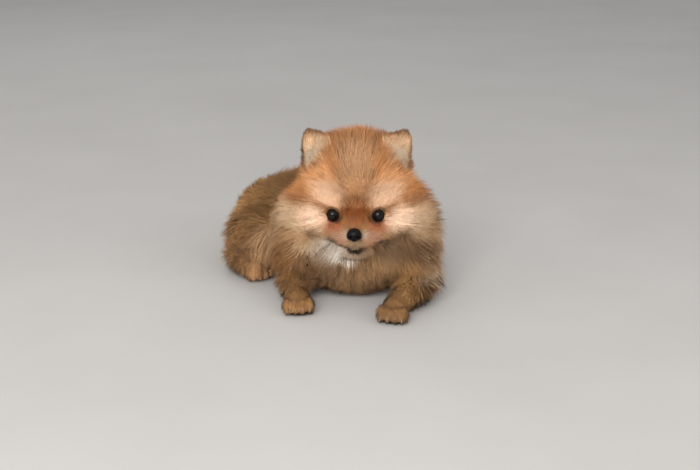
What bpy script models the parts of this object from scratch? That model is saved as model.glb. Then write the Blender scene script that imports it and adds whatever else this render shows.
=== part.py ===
"""A Pomeranian puppy about eight weeks old, lying on its belly with its head turned to its right.

Every solid is modelled out to the tips of the coat. The body is built from soft rounded masses, which are
fused, smoothed and then parted where a person would name its parts. X points to the puppy's left, -Y is the
way that its body points, and the floor is the plane Z = 0. Until the last step, places are measured from the
point on the floor below the middle of the eyes. Lengths are in millimetres, and MM turns them into metres.
"""

import math

import bmesh
import bpy
from mathutils import Matrix, Vector

MM = 0.001

# --- Driving dimensions -------------------------------------------------------------------------------------

GAP = 0.4  # clearance between neighbouring solids

# Headings in degrees: how far a part of the body is turned from -Y towards the puppy's right.
HEAD_HEADING = 46.0
FACE_HEADING = 44.0
CHEST_HEADING = 30.0
RUMP_HEADING = -12.0

# The spine on the floor plan, from the shoulders over the loins to the hips.
SHOULDERS = Vector((36.0, 30.0))
LOINS = Vector((44.0, 76.0))
HIPS = Vector((36.0, 121.0))

# The eyes, and the middle of the skull behind them.
EYE_HEIGHT = 70.0
EYE_SPACING = 34.0
EYE_RADIUS = 6.3
SKULL_BEHIND_EYES = 27.4
SKULL_ABOVE_EYES = 14.0

# Features in the skull's own frame, as (left, ahead, up) from its middle.
NOSE_PLACE = Vector((0.0, 55.5, -22.0))
NOSE_RADII = Vector((6.2, 4.7, 5.5))
EAR_PLACE = Vector((31.0, 7.0, 29.0))
EAR_HEIGHT = 41.0
EAR_WIDTH = 28.0
EAR_THICKNESS = 9.0
EAR_LEAN = 13.0  # degrees by which each ear leans outwards
EAR_TURN = 12.0  # degrees by which each ear's cup faces outwards

# Voxel sizes set how finely each fused mass is made.
BODY_VOXEL = 2.6
HEAD_VOXEL = 1.4
SMALL_VOXEL = 1.0
NOSE_VOXEL = 0.6

COLOURS = {
    "coat_orange": (0.48, 0.22, 0.08),
    "coat_cream": (0.72, 0.50, 0.33),
    "coat_sable": (0.26, 0.15, 0.07),
    "eye_brown": (0.012, 0.008, 0.006),
    "nose_black": (0.010, 0.009, 0.009),
}
ROUGHNESS = {"eye_brown": 0.08, "nose_black": 0.35}
COAT_ROUGHNESS = 0.85

FINISHES = {
    "head": "coat_orange",
    "tail": "coat_orange",
    "ear_left": "coat_cream",
    "ear_right": "coat_cream",
    "lower_jaw": "coat_cream",
    "neck": "coat_cream",
    "nose": "nose_black",
    "eye_left": "eye_brown",
    "eye_right": "eye_brown",
}


# --- Frames -------------------------------------------------------------------------------------------------


def turned(heading):
    """The level directions to a part's left and straight ahead of it."""
    angle = math.radians(heading)
    left = Vector((math.cos(angle), -math.sin(angle), 0))
    ahead = Vector((-math.sin(angle), -math.cos(angle), 0))
    return left, ahead


def frame(centre, heading):
    """A matrix from a part's own (left, behind, up) millimetres to the puppy's frame."""
    left, ahead = turned(heading)
    axes = Matrix((left, -ahead, Vector((0, 0, 1)))).transposed().to_4x4()
    return Matrix.Translation(centre) @ axes


def mirrored(place, side):
    """The same place on the left (side 1) or on the right (side -1) of the body."""
    return Vector((place[0] * side, place[1], place[2]))


def offset(place):
    """The move to a place that is given as (left, ahead, up)."""
    return Matrix.Translation(Vector((place[0], -place[1], place[2])))


def skull_frame():
    """The frame of the skull's middle, which lies behind and above the eyes."""
    ahead = turned(HEAD_HEADING)[1]
    centre = Vector((0, 0, EYE_HEIGHT + SKULL_ABOVE_EYES)) - ahead * SKULL_BEHIND_EYES
    return frame(centre, HEAD_HEADING)


SKULL = skull_frame()
FACE = frame(Vector((0, 0, 0)), FACE_HEADING)


# --- Materials and scene ------------------------------------------------------------------------------------


def clear_scene():
    """Removes whatever the scene starts with."""
    for found in list(bpy.data.objects):
        bpy.data.objects.remove(found)


def linked(name, mesh):
    """A new object that holds this mesh, linked to the scene."""
    made = bpy.data.objects.new(name, mesh)
    bpy.context.scene.collection.objects.link(made)
    return made


def material(name):
    """A plain Principled finish in the named colour."""
    found = bpy.data.materials.get(name)
    if found:
        return found
    made = bpy.data.materials.new(name)
    made.use_nodes = True
    shader = made.node_tree.nodes["Principled BSDF"]
    shader.inputs["Base Color"].default_value = (*COLOURS[name], 1)
    shader.inputs["Roughness"].default_value = ROUGHNESS.get(name, COAT_ROUGHNESS)
    shader.inputs["Metallic"].default_value = 0.0
    return made


# --- Rounded masses -----------------------------------------------------------------------------------------


def mass(mesh, centre, radii, own=Matrix.Identity(4), tilt=Matrix.Identity(4), segments=32):
    """Adds an ellipsoid to a bmesh; its centre and radii are (left, ahead, up) in the part's frame."""
    size = Matrix.Diagonal((*radii, 1))
    bmesh.ops.create_uvsphere(
        mesh,
        u_segments=segments,
        v_segments=segments // 2,
        radius=1.0,
        matrix=Matrix.Scale(MM, 4) @ own @ offset(centre) @ tilt @ size,
    )


def limb(mesh, places, radii, own=Matrix.Identity(4), steps=6):
    """Adds chains of balls between places, so that fusing them makes a tapered limb."""
    for start, end, first, last in zip(places, places[1:], radii, radii[1:]):
        for step in range(steps + 1):
            share = step / steps
            radius = first + (last - first) * share
            mass(mesh, Vector(start).lerp(Vector(end), share), (radius,) * 3, own, segments=20)


def mesh_of(name, shape):
    """A mesh made from a bmesh, which is freed."""
    made = bpy.data.meshes.new(name)
    shape.to_mesh(made)
    shape.free()
    return made


def baked(source, name):
    """A new object from the evaluated one, which is then removed."""
    bpy.context.view_layer.update()
    graph = bpy.context.evaluated_depsgraph_get()
    mesh = bpy.data.meshes.new_from_object(source.evaluated_get(graph))
    mesh.name = name
    bpy.data.objects.remove(source)
    return linked(name, mesh)


def fused(name, shape, voxel, smoothing, triangles):
    """One smooth closed solid, of about this many triangles, from a bmesh of overlapping masses."""
    made = linked(name + "_masses", mesh_of(name, shape))
    remesh = made.modifiers.new("fuse", "REMESH")
    remesh.mode = "VOXEL"
    remesh.voxel_size = voxel * MM
    soften = made.modifiers.new("soften", "SMOOTH")
    soften.factor = 0.5
    soften.iterations = smoothing
    made = baked(made, name)
    made.data.calc_loop_triangles()
    thin = made.modifiers.new("thin", "DECIMATE")
    thin.ratio = min(1.0, triangles / len(made.data.loop_triangles))
    thin.use_collapse_triangulate = True
    return baked(made, name)


# --- Cutting ------------------------------------------------------------------------------------------------


def grown(source, distance):
    """A copy of a solid whose surface stands out by this distance, to cut a neighbour with clearance."""
    made = linked(source.name + "_cutter", source.data.copy())
    swell = made.modifiers.new("swell", "DISPLACE")
    swell.mid_level = 0.0
    swell.strength = distance * MM
    return baked(made, source.name + "_cutter")


def joined(solids):
    """One helper object that holds copies of several solids."""
    shape = bmesh.new()
    for solid in solids:
        shape.from_mesh(solid.data)
    return linked("knives", mesh_of("knives", shape))


def largest_body(target):
    """Drops loose crumbs that a cut leaves, keeping the body with the most faces."""
    shape = bmesh.new()
    shape.from_mesh(target.data)
    unseen = set(shape.faces)
    bodies = []
    while unseen:
        body, front = [], [unseen.pop()]
        while front:
            face = front.pop()
            body.append(face)
            for side in face.edges:
                for other in side.link_faces:
                    if other in unseen:
                        unseen.remove(other)
                        front.append(other)
        bodies.append(body)
    bodies.sort(key=len, reverse=True)
    crumbs = [face for body in bodies[1:] for face in body]
    bmesh.ops.delete(shape, geom=crumbs, context="FACES")
    bmesh.ops.triangulate(shape, faces=shape.faces)
    shape.to_mesh(target.data)
    shape.free()


def cut(target, cutters):
    """The target with every one of the cutters taken from it in one Boolean."""
    name = target.name
    knives = joined(cutters)
    knife = target.modifiers.new("cut", "BOOLEAN")
    knife.operation = "DIFFERENCE"
    knife.solver = "EXACT"
    knife.use_self = True
    knife.object = knives
    made = baked(target, name)
    bpy.data.objects.remove(knives)
    largest_body(made)
    return made


def floor_block():
    """A block whose top is the floor; it trims whatever would sink below it."""
    side, depth = 0.6, 0.2
    shape = bmesh.new()
    place = Matrix.Translation((0, 0, -depth / 2)) @ Matrix.Diagonal((side, side, depth, 1))
    bmesh.ops.create_cube(shape, size=1.0, matrix=place)
    return linked("floor_block", mesh_of("floor_block", shape))


def corners(target):
    """Lowest and highest corner of an object's mesh."""
    places = [vertex.co for vertex in target.data.vertices]
    low = Vector([min(place[axis] for place in places) for axis in range(3)])
    high = Vector([max(place[axis] for place in places) for axis in range(3)])
    return low, high


def boxes_meet(first, second):
    """Whether two objects' boxes overlap, so that a cut can matter."""
    low_a, high_a = corners(first)
    low_b, high_b = corners(second)
    return all(low_a[axis] < high_b[axis] and low_b[axis] < high_a[axis] for axis in range(3))


def parted(parts):
    """Cuts each part by every part named before it, so that neighbours meet with a thin clearance."""
    uncut = {name: grown(part, GAP) for name, part in parts.items()}
    block = floor_block()
    order = list(parts)
    done = {}
    for index, name in enumerate(order):
        target = parts[name]
        cutters = [uncut[other] for other in order[:index] if boxes_meet(target, uncut[other])]
        if corners(target)[0].z < 0:
            cutters.append(block)
        done[name] = cut(target, cutters) if cutters else target
    for helper in [*uncut.values(), block]:
        bpy.data.objects.remove(helper)
    return done


# --- The head -----------------------------------------------------------------------------------------------


def build_head():
    """Crown, temples, cheeks and upper muzzle in one solid."""
    shape = bmesh.new()
    mass(shape, (0, 0, -1), (48.5, 33.5, 51), SKULL)  # crown and forehead
    mass(shape, (0, -7, -1), (45, 33, 48), SKULL)  # back of the crown
    mass(shape, (0, -1, -12), (58, 32, 34), SKULL)  # temples
    for side in (1, -1):
        mass(shape, mirrored((39, 1, -22), side), (26, 26, 27), SKULL)  # cheek fluff
        mass(shape, mirrored((30, 8, -22), side), (24, 22, 24), SKULL)  # cheek towards the eye
        mass(shape, mirrored((11, 24, -3), side), (11, 8.5, 8), SKULL)  # brow
        mass(shape, mirrored((8.5, 42, -27), side), (10, 12, 9), SKULL)  # whisker pad
        mass(shape, mirrored((19, 20, -25), side), (15, 14.5, 15), SKULL)  # cheek below the eye
        mass(shape, mirrored((15, 30, -27.5), side), (12, 13, 10.5), SKULL)  # cheek beside the muzzle
    mass(shape, (0, 37, -18.5), (9.5, 18, 7.5), SKULL)  # bridge of the muzzle
    mass(shape, (0, 36, -27), (15, 17, 11), SKULL)  # muzzle
    return fused("head", shape, HEAD_VOXEL, 6, 900)


def build_lower_jaw():
    """The lower jaw and chin, below the line of the lips."""
    shape = bmesh.new()
    mass(shape, (0, 31, -39), (16.5, 18, 8.5), SKULL)
    mass(shape, (0, 42, -39), (9, 10, 7), SKULL)
    return fused("lower_jaw", shape, SMALL_VOXEL, 4, 120)


def build_nose():
    """The nose leather: a broad top over a narrower base."""
    shape = bmesh.new()
    left, ahead, up = NOSE_PLACE
    wide, deep, high = NOSE_RADII
    mass(shape, (left, ahead - 0.4, up + 0.9), (wide, deep, high * 0.8), SKULL, segments=24)
    mass(shape, (left, ahead, up - 1.4), (wide * 0.68, deep * 0.9, high * 0.72), SKULL, segments=24)
    return fused("nose", shape, NOSE_VOXEL, 3, 150)


def build_eye(side, name):
    """One eyeball."""
    shape = bmesh.new()
    place = (EYE_SPACING / 2 * side, SKULL_BEHIND_EYES, -SKULL_ABOVE_EYES)
    mass(shape, place, (EYE_RADIUS,) * 3, SKULL, segments=14)
    bmesh.ops.triangulate(shape, faces=shape.faces)
    return linked(name, mesh_of(name, shape))


def build_ear(side, name):
    """A small rounded triangular ear, hollowed in front."""
    lean = Matrix.Rotation(math.radians(EAR_LEAN * side), 4, "Y")
    turn = Matrix.Rotation(math.radians(EAR_TURN * side), 4, "Z")
    own = SKULL @ offset(mirrored(EAR_PLACE, side)) @ turn @ lean
    half_wide, half_thick = EAR_WIDTH / 2, EAR_THICKNESS / 2
    shape = bmesh.new()
    mass(shape, (0, 0, -8), (half_wide, half_thick, 15), own)
    mass(shape, (0.2 * side, -0.6, 0), (half_wide * 0.92, half_thick * 0.9, 15.5), own)
    mass(shape, (1.8 * side, -1.2, 9), (half_wide * 0.58, half_thick * 0.75, EAR_HEIGHT / 2 - 9), own)
    # The blunt inner corner.
    mass(shape, (-4.4 * side, -1.2, 7.5), (half_wide * 0.58, half_thick * 0.72, 10), own)
    made = fused(name, shape, SMALL_VOXEL, 4, 200)
    hollow = bmesh.new()
    mass(hollow, (0.4 * side, half_thick + 0.8, -1), (half_wide * 0.58, half_thick, EAR_HEIGHT * 0.36), own)
    scoop = fused(name + "_hollow", hollow, SMALL_VOXEL, 1, 90)
    made = cut(made, [scoop])
    bpy.data.objects.remove(scoop)
    return made


# --- The body -----------------------------------------------------------------------------------------------


def along_spine(share):
    """A place on the floor plan, from the shoulders (0) over the loins to the hips (1)."""
    control = LOINS * 2 - (SHOULDERS + HIPS) / 2
    rest = 1 - share
    return SHOULDERS * rest**2 + control * (2 * share * rest) + HIPS * share**2


def build_neck():
    """The ruff: a full collar of long coat between the cheeks and the shoulders."""
    shape = bmesh.new()
    mass(shape, (2, -33, 50), (72, 33, 55), FACE)
    mass(shape, (5, -60, 56), (54, 38, 43), FACE)  # nape
    mass(shape, (0, -13, 30), (50, 22, 29), FACE)  # bib under the chin
    for side in (1, -1):
        mass(shape, mirrored((50, -22, 36), side), (22, 22, 30), FACE)  # sides of the ruff
    return fused("neck", shape, BODY_VOXEL, 5, 460)


def build_trunk():
    """Breast, back, flanks, belly and seat, bent round to the puppy's right."""
    shape = bmesh.new()
    mass(shape, (5, -32, 35), (61, 40, 37), FACE)  # shoulders
    mass(shape, (4, -9, 17), (57, 23, 20), FACE)  # breast on the floor
    steps = 7
    for step in range(steps + 1):
        share = step / steps
        place = along_spine(share)
        heading = CHEST_HEADING + (RUMP_HEADING - CHEST_HEADING) * share
        half_width = 52 - 8 * share
        half_height = 44 - 7 * share
        own = frame(Vector((place.x, place.y, half_height - 2)), heading)
        mass(shape, (0, 0, 0), (half_width, 36, half_height), own)
    own = frame(Vector((HIPS.x, HIPS.y, 34)), RUMP_HEADING)
    mass(shape, (-1, -5, 0), (47, 41, 36), own)  # rump
    mass(shape, (-3, -20, -7), (42, 29, 29), own)  # seat
    return fused("trunk", shape, BODY_VOXEL, 6, 620)


def build_tail():
    """A short plume laid forward over the back."""
    own = frame(Vector((HIPS.x, HIPS.y, 0)), RUMP_HEADING)
    places = ((0, -50, 28), (2, -47, 36), (9, -34, 47), (19, -12, 58), (27, 12, 64), (30, 29, 65))
    radii = (9, 12, 14, 15, 14, 9)
    shape = bmesh.new()
    limb(shape, places, radii, own, steps=5)
    return fused("tail", shape, BODY_VOXEL, 5, 220)


# --- The legs -----------------------------------------------------------------------------------------------

# Shoulder, elbow, forearm and wrist in the face's frame, then the paw's middle and its own heading.
FORELEGS = {
    "left": ((47, -24, 38), (51.5, 0, 20), (44, 14, 16), (34, 25, 12), (29, 36, 9), 58.0),
    "right": ((-42, -42, 34), (-48, -22, 18), (-48, -6, 15), (-46, 8, 12), (-44, 19, 9), 38.0),
}
FORELEG_RADII = (22, 20.5, 17, 12)
PAW_LENGTH = 32.0
PAW_WIDTH = 23.0
PAW_HEIGHT = 19.0
CLAW_RADII = Vector((1.3, 2.8, 1.5))


def build_foreleg(side):
    """Upper arm and forearm in their feathering."""
    places = FORELEGS[side][:4]
    shape = bmesh.new()
    limb(shape, places, FORELEG_RADII, FACE)
    return fused("foreleg_" + side, shape, BODY_VOXEL * 0.8, 5, 190)


def paw_masses(shape, own, length):
    """Adds a paw on the floor: a heel pad and four toes, each with its claw."""
    heel = (PAW_WIDTH * 0.46, length * 0.42, PAW_HEIGHT * 0.52)
    mass(shape, (0, -length * 0.10, 0), heel, own, segments=24)
    for toe in range(4):
        across = (toe - 1.5) * PAW_WIDTH * 0.235
        ahead = length * (0.33 - 0.05 * abs(toe - 1.5))
        radii = (PAW_WIDTH * 0.165, length * 0.20, PAW_HEIGHT * 0.40)
        mass(shape, (across, ahead, -PAW_HEIGHT * 0.10), radii, own, segments=16)
        tip = (across, ahead + length * 0.19, -PAW_HEIGHT * 0.24)
        mass(shape, tip, CLAW_RADII, own, segments=12)


def build_forepaw(side):
    """A front paw."""
    place, heading = FORELEGS[side][4:]
    shape = bmesh.new()
    paw_masses(shape, frame(FACE @ offset(place).translation, heading), PAW_LENGTH)
    return fused("forepaw_" + side, shape, SMALL_VOXEL * 0.8, 2, 300)


# Thigh, knee and shank in the rump's frame on the floor below the hips, then the foot and the leg's heading.
HINDLEGS = {
    "left": ((34, 4, 27), (41, 22, 22), (40, 2, 12), (46, 26, 9), -18.0),
    "right": ((-39.5, -2.5, 27), (-58, 16, 21), (-60.5, 2, 14), (-62, 13, 9), 14.0),
}


def hind_frame():
    """The frame of the point on the floor below the hips."""
    return frame(Vector((HIPS.x, HIPS.y, 0)), RUMP_HEADING)


def build_thigh(side):
    """A folded hind leg: thigh and knee, to the hock."""
    thigh, knee, shank, _, heading = HINDLEGS[side]
    own = hind_frame()
    shape = bmesh.new()
    mass(shape, thigh, (27, 33, 28), own)
    mass(shape, knee, (19, 19, 21), own)
    mass(shape, (0, 0, 0), (19, 34, 16), frame(own @ offset(shank).translation, heading))
    return fused("hindleg_" + side, shape, BODY_VOXEL * 0.8, 5, 230)


def build_hindpaw(side):
    """A long hind foot flat on the floor beside the thigh."""
    place, heading = HINDLEGS[side][3:]
    own = frame(hind_frame() @ offset(place).translation, heading)
    shape = bmesh.new()
    paw_masses(shape, own, PAW_LENGTH)
    mass(shape, (0, -18, 1), (10, 18, 10), own, segments=20)  # hock
    return fused("hindpaw_" + side, shape, SMALL_VOXEL * 0.8, 2, 300)


# --- Assembly -----------------------------------------------------------------------------------------------


def main():
    """Builds the parts, parts them, and stands the puppy on the origin of its own frame."""
    clear_scene()
    parts = [
        build_eye(1, "eye_left"),
        build_eye(-1, "eye_right"),
        build_nose(),
        build_ear(1, "ear_left"),
        build_ear(-1, "ear_right"),
        build_head(),
        build_lower_jaw(),
        build_neck(),
        build_forepaw("left"),
        build_forepaw("right"),
        build_hindpaw("left"),
        build_hindpaw("right"),
        build_foreleg("left"),
        build_foreleg("right"),
        build_thigh("left"),
        build_thigh("right"),
        build_tail(),
        build_trunk(),
    ]
    solids = parted({part.name: part for part in parts}).values()
    spans = [corners(solid) for solid in solids]
    middle = [
        (min(low[axis] for low, _ in spans) + max(high[axis] for _, high in spans)) / 2 for axis in range(2)
    ]
    puppy = bpy.data.collections.new("pomeranian_puppy")
    bpy.context.scene.collection.children.link(puppy)
    for solid in solids:
        solid.data.transform(Matrix.Translation((-middle[0], -middle[1], 0)))
        solid.data.materials.clear()
        solid.data.materials.append(material(FINISHES.get(solid.name, "coat_sable")))
        bpy.context.scene.collection.objects.unlink(solid)
        puppy.objects.link(solid)


main()
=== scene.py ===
"""A Pomeranian puppy about eight weeks old, lying on its belly, as a still life-size model.

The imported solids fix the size, the pose and the outline out to the tips of the coat. Here a skin is laid
inside them, the coat grows from the skin out to that outline, and the eyes, nose, claws and whiskers are
separate pieces. Places are given in millimetres as (left, ahead, up) in the frame of the part that they
belong to, and every mesh is in metres in the frame of the solids.
"""

import logging
import math
from dataclasses import dataclass, field
from enum import Enum
from typing import Callable, Iterable, Iterator, Sequence

import bmesh
import bpy
import numpy as np
from mathutils import Matrix, Vector
from mathutils.bvhtree import BVHTree
from mathutils.kdtree import KDTree


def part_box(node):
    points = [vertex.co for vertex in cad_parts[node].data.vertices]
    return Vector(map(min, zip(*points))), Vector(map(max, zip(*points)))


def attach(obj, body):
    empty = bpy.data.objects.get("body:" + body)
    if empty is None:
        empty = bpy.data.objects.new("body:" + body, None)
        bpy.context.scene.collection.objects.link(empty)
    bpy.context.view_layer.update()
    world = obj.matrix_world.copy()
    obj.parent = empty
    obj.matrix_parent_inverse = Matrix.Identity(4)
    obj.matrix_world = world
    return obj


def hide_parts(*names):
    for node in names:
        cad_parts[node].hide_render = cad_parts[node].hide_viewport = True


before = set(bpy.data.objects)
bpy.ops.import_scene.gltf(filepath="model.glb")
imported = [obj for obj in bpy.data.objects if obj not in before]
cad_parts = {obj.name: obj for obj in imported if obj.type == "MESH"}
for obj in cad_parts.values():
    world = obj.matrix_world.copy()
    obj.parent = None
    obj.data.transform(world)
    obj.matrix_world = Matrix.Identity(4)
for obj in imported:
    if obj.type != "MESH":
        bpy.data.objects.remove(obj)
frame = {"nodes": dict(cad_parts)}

LOG = logging.getLogger("pomeranian")
MM = 0.001
SEED = 20
SIDES = (1, -1)
BATCH = 20000
BODY = "root"
MARKINGS_AND_SHADING = "markings_and_shading"
ALONG = "along"
STRAND = "strand"
GAZE = "gaze"
BAKE_MAP = "OFBake"

Place = tuple[float, float, float]
Array = np.ndarray


# --- Small helpers ------------------------------------------------------------------------------------------


def unit(vectors: Array) -> Array:
    """The same directions with length one, for one vector or for one in each row."""
    size = np.linalg.norm(vectors, axis=-1, keepdims=True)
    return vectors / np.maximum(size, 1e-12)


def smoothstep(low: float, high: float, value: Array) -> Array:
    """0 before low, 1 after high and a smooth rise between them; low may lie above high for a fall."""
    share = np.clip((value - low) / (high - low), 0.0, 1.0)
    return share * share * (3 - 2 * share)


def linear(red: float, green: float, blue: float) -> Array:
    """A colour in scene light from its screen values, which run from 0 to 255."""
    share = np.array((red, green, blue)) / 255.0
    return np.where(share <= 0.04045, share / 12.92, ((share + 0.055) / 1.055) ** 2.4)


class Part(Enum):
    """The parts of the body that carry a frame of their own."""

    SKULL = "skull"
    FACE = "face"
    HIPS = "hips"
    LOINS = "loins"
    EAR_LEFT = "ear_left"
    EAR_RIGHT = "ear_right"
    FOREPAW_LEFT = "forepaw_left"
    FOREPAW_RIGHT = "forepaw_right"
    HINDPAW_LEFT = "hindpaw_left"
    HINDPAW_RIGHT = "hindpaw_right"
    SHANK_LEFT = "shank_left"
    SHANK_RIGHT = "shank_right"


EARS = (Part.EAR_LEFT, Part.EAR_RIGHT)
FOREPAWS = (Part.FOREPAW_LEFT, Part.FOREPAW_RIGHT)
HINDPAWS = (Part.HINDPAW_LEFT, Part.HINDPAW_RIGHT)
SHANKS = (Part.SHANK_LEFT, Part.SHANK_RIGHT)


@dataclass(frozen=True)
class Frame:
    """A place and three directions, between a part's millimetres and the model's metres."""

    origin: Array
    axes: Array

    def at(self, place: Sequence[float] | Array) -> Array:
        """Points in metres from (left, ahead, up) millimetres."""
        return self.origin + (np.asarray(place, float) @ self.axes) * MM

    def way(self, direction: Sequence[float] | Array) -> Array:
        """Unit directions in the model's frame from (left, ahead, up)."""
        return unit(np.asarray(direction, float) @ self.axes)

    def local(self, points: Array) -> Array:
        """Millimetres (left, ahead, up) of points that are given in metres."""
        return (points - self.origin) @ self.axes.T / MM

    def matrix(self) -> Matrix:
        """The matrix that takes (left, ahead, up) metres to the model's frame; it mirrors."""
        turned = Matrix(self.axes.T.tolist()).to_4x4()
        return Matrix.Translation(Vector(self.origin)) @ turned


def turned_frame(origin: Array, heading: float) -> Frame:
    """The frame of a part that stands upright and faces a heading.

    Args:
        origin: the frame's place in metres.
        heading: degrees from -Y towards the puppy's right.

    Returns:
        The frame with level left and ahead directions.
    """
    angle = math.radians(heading)
    left = (math.cos(angle), -math.sin(angle), 0.0)
    ahead = (-math.sin(angle), -math.cos(angle), 0.0)
    return Frame(np.asarray(origin, float), np.array((left, ahead, (0.0, 0.0, 1.0))))


@dataclass
class Posture:
    """How the puppy lies: where each part is and which way it is turned."""

    head_heading: float = 46.0
    face_heading: float = 44.0
    chest_heading: float = 30.0
    rump_heading: float = -12.0
    skull_behind_eyes: float = 27.4
    skull_above_eyes: float = 14.0
    eye_out: float = 17.0
    eye_radius: float = 6.3
    eye_turn: float = 2.0
    shoulders: tuple[float, float] = (36.0, 30.0)
    loins: tuple[float, float] = (44.0, 76.0)
    hips: tuple[float, float] = (36.0, 121.0)
    ear_place: Place = (31.0, 7.0, 29.0)
    ear_lean: float = 13.0
    ear_turn: float = 12.0
    forepaws: tuple = (((29, 36, 9), 58.0), ((-44, 19, 9), 38.0))
    hindpaws: tuple = (((46, 26, 9), -18.0), ((-62, 13, 9), 14.0))
    shanks: tuple = (((40, 2, 12), -18.0), ((-60.5, 2, 14), 14.0))
    frames: dict[Part, Frame] = field(default_factory=dict)

    def __post_init__(self) -> None:
        """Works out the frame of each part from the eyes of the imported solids."""
        eyes = [sum(map(np.array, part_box(name))) / 2 for name in ("eye_left", "eye_right")]
        self.eyes = (eyes[0] + eyes[1]) / 2
        self.ground = self.eyes * (1, 1, 0)
        skull = turned_frame(self.eyes, self.head_heading)
        middle = skull.at((0, -self.skull_behind_eyes, self.skull_above_eyes))
        frames = self.frames
        frames[Part.SKULL] = Frame(middle, skull.axes)
        frames[Part.FACE] = turned_frame(self.ground, self.face_heading)
        frames[Part.HIPS] = turned_frame(self.on_floor(*self.hips), self.rump_heading)
        halfway = (self.chest_heading + self.rump_heading) / 2
        frames[Part.LOINS] = turned_frame(self.on_floor(*self.loins), halfway)
        for side, part in zip(SIDES, EARS):
            frames[part] = self.ear_frame(side)
        for base, parts, rows in ((Part.FACE, FOREPAWS, self.forepaws), (Part.HIPS, HINDPAWS, self.hindpaws),
                                  (Part.HIPS, SHANKS, self.shanks)):
            for part, (place, heading) in zip(parts, rows):
                frames[part] = turned_frame(frames[base].at(place), heading)

    def on_floor(self, across: float, behind: float) -> Array:
        """A place on the floor, from the point below the eyes."""
        return self.ground + np.array((across, behind, 0.0)) * MM

    def ear_frame(self, side: int) -> Frame:
        """The frame of one ear.

        Args:
            side: 1 for the left ear, -1 for the right.

        Returns:
            The ear's width, the way that its cup faces, and its height.
        """
        skull = self.frames[Part.SKULL]
        place = np.array(self.ear_place) * (side, 1, 1)
        turn, lean = math.radians(self.ear_turn) * side, math.radians(self.ear_lean) * side
        across = np.array((math.cos(turn), -math.sin(turn), 0.0))
        ahead = np.array((math.sin(turn), math.cos(turn), 0.0))
        up = np.array((0.0, 0.0, 1.0))
        across, up = (across * math.cos(lean) - up * math.sin(lean),
                      across * math.sin(lean) + up * math.cos(lean))
        return Frame(skull.at(place), np.array((across, ahead, up)) @ skull.axes)

    def along_spine(self, share: float) -> Frame:
        """The frame on the floor below the spine.

        Args:
            share: how far along the spine, from the shoulders (0) to the hips (1).

        Returns:
            A frame that turns with the spine.
        """
        start, middle, end = (np.array(p) for p in (self.shoulders, self.loins, self.hips))
        control = middle * 2 - (start + end) / 2
        rest = 1 - share
        place = start * rest**2 + control * (2 * share * rest) + end * share**2
        heading = self.chest_heading + (self.rump_heading - self.chest_heading) * share
        return turned_frame(self.on_floor(*place), heading)

    @staticmethod
    def barrel(share: float) -> tuple[float, float]:
        """Half the width and half the height of the barrel at a share of the spine."""
        return 36 - 6 * share, 33 - 5 * share

    def eye(self, side: int) -> Array:
        """The middle of one eyeball, in metres."""
        skull = self.frames[Part.SKULL]
        return skull.at((self.eye_out * side, self.skull_behind_eyes, -self.skull_above_eyes))

    def gaze(self, side: int) -> Frame:
        """A frame in the middle of one eyeball.

        Args:
            side: 1 for the left eye, -1 for the right.

        Returns:
            A frame whose ahead is the way that the eye looks.
        """
        skull = self.frames[Part.SKULL]
        out = math.radians(self.eye_turn) * side
        left = np.array((math.cos(out), -math.sin(out), 0.0))
        ahead = np.array((math.sin(out), math.cos(out), 0.0))
        return Frame(self.eye(side), np.array((left, ahead, (0.0, 0.0, 1.0))) @ skull.axes)


# --- Finishes -----------------------------------------------------------------------------------------------


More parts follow.
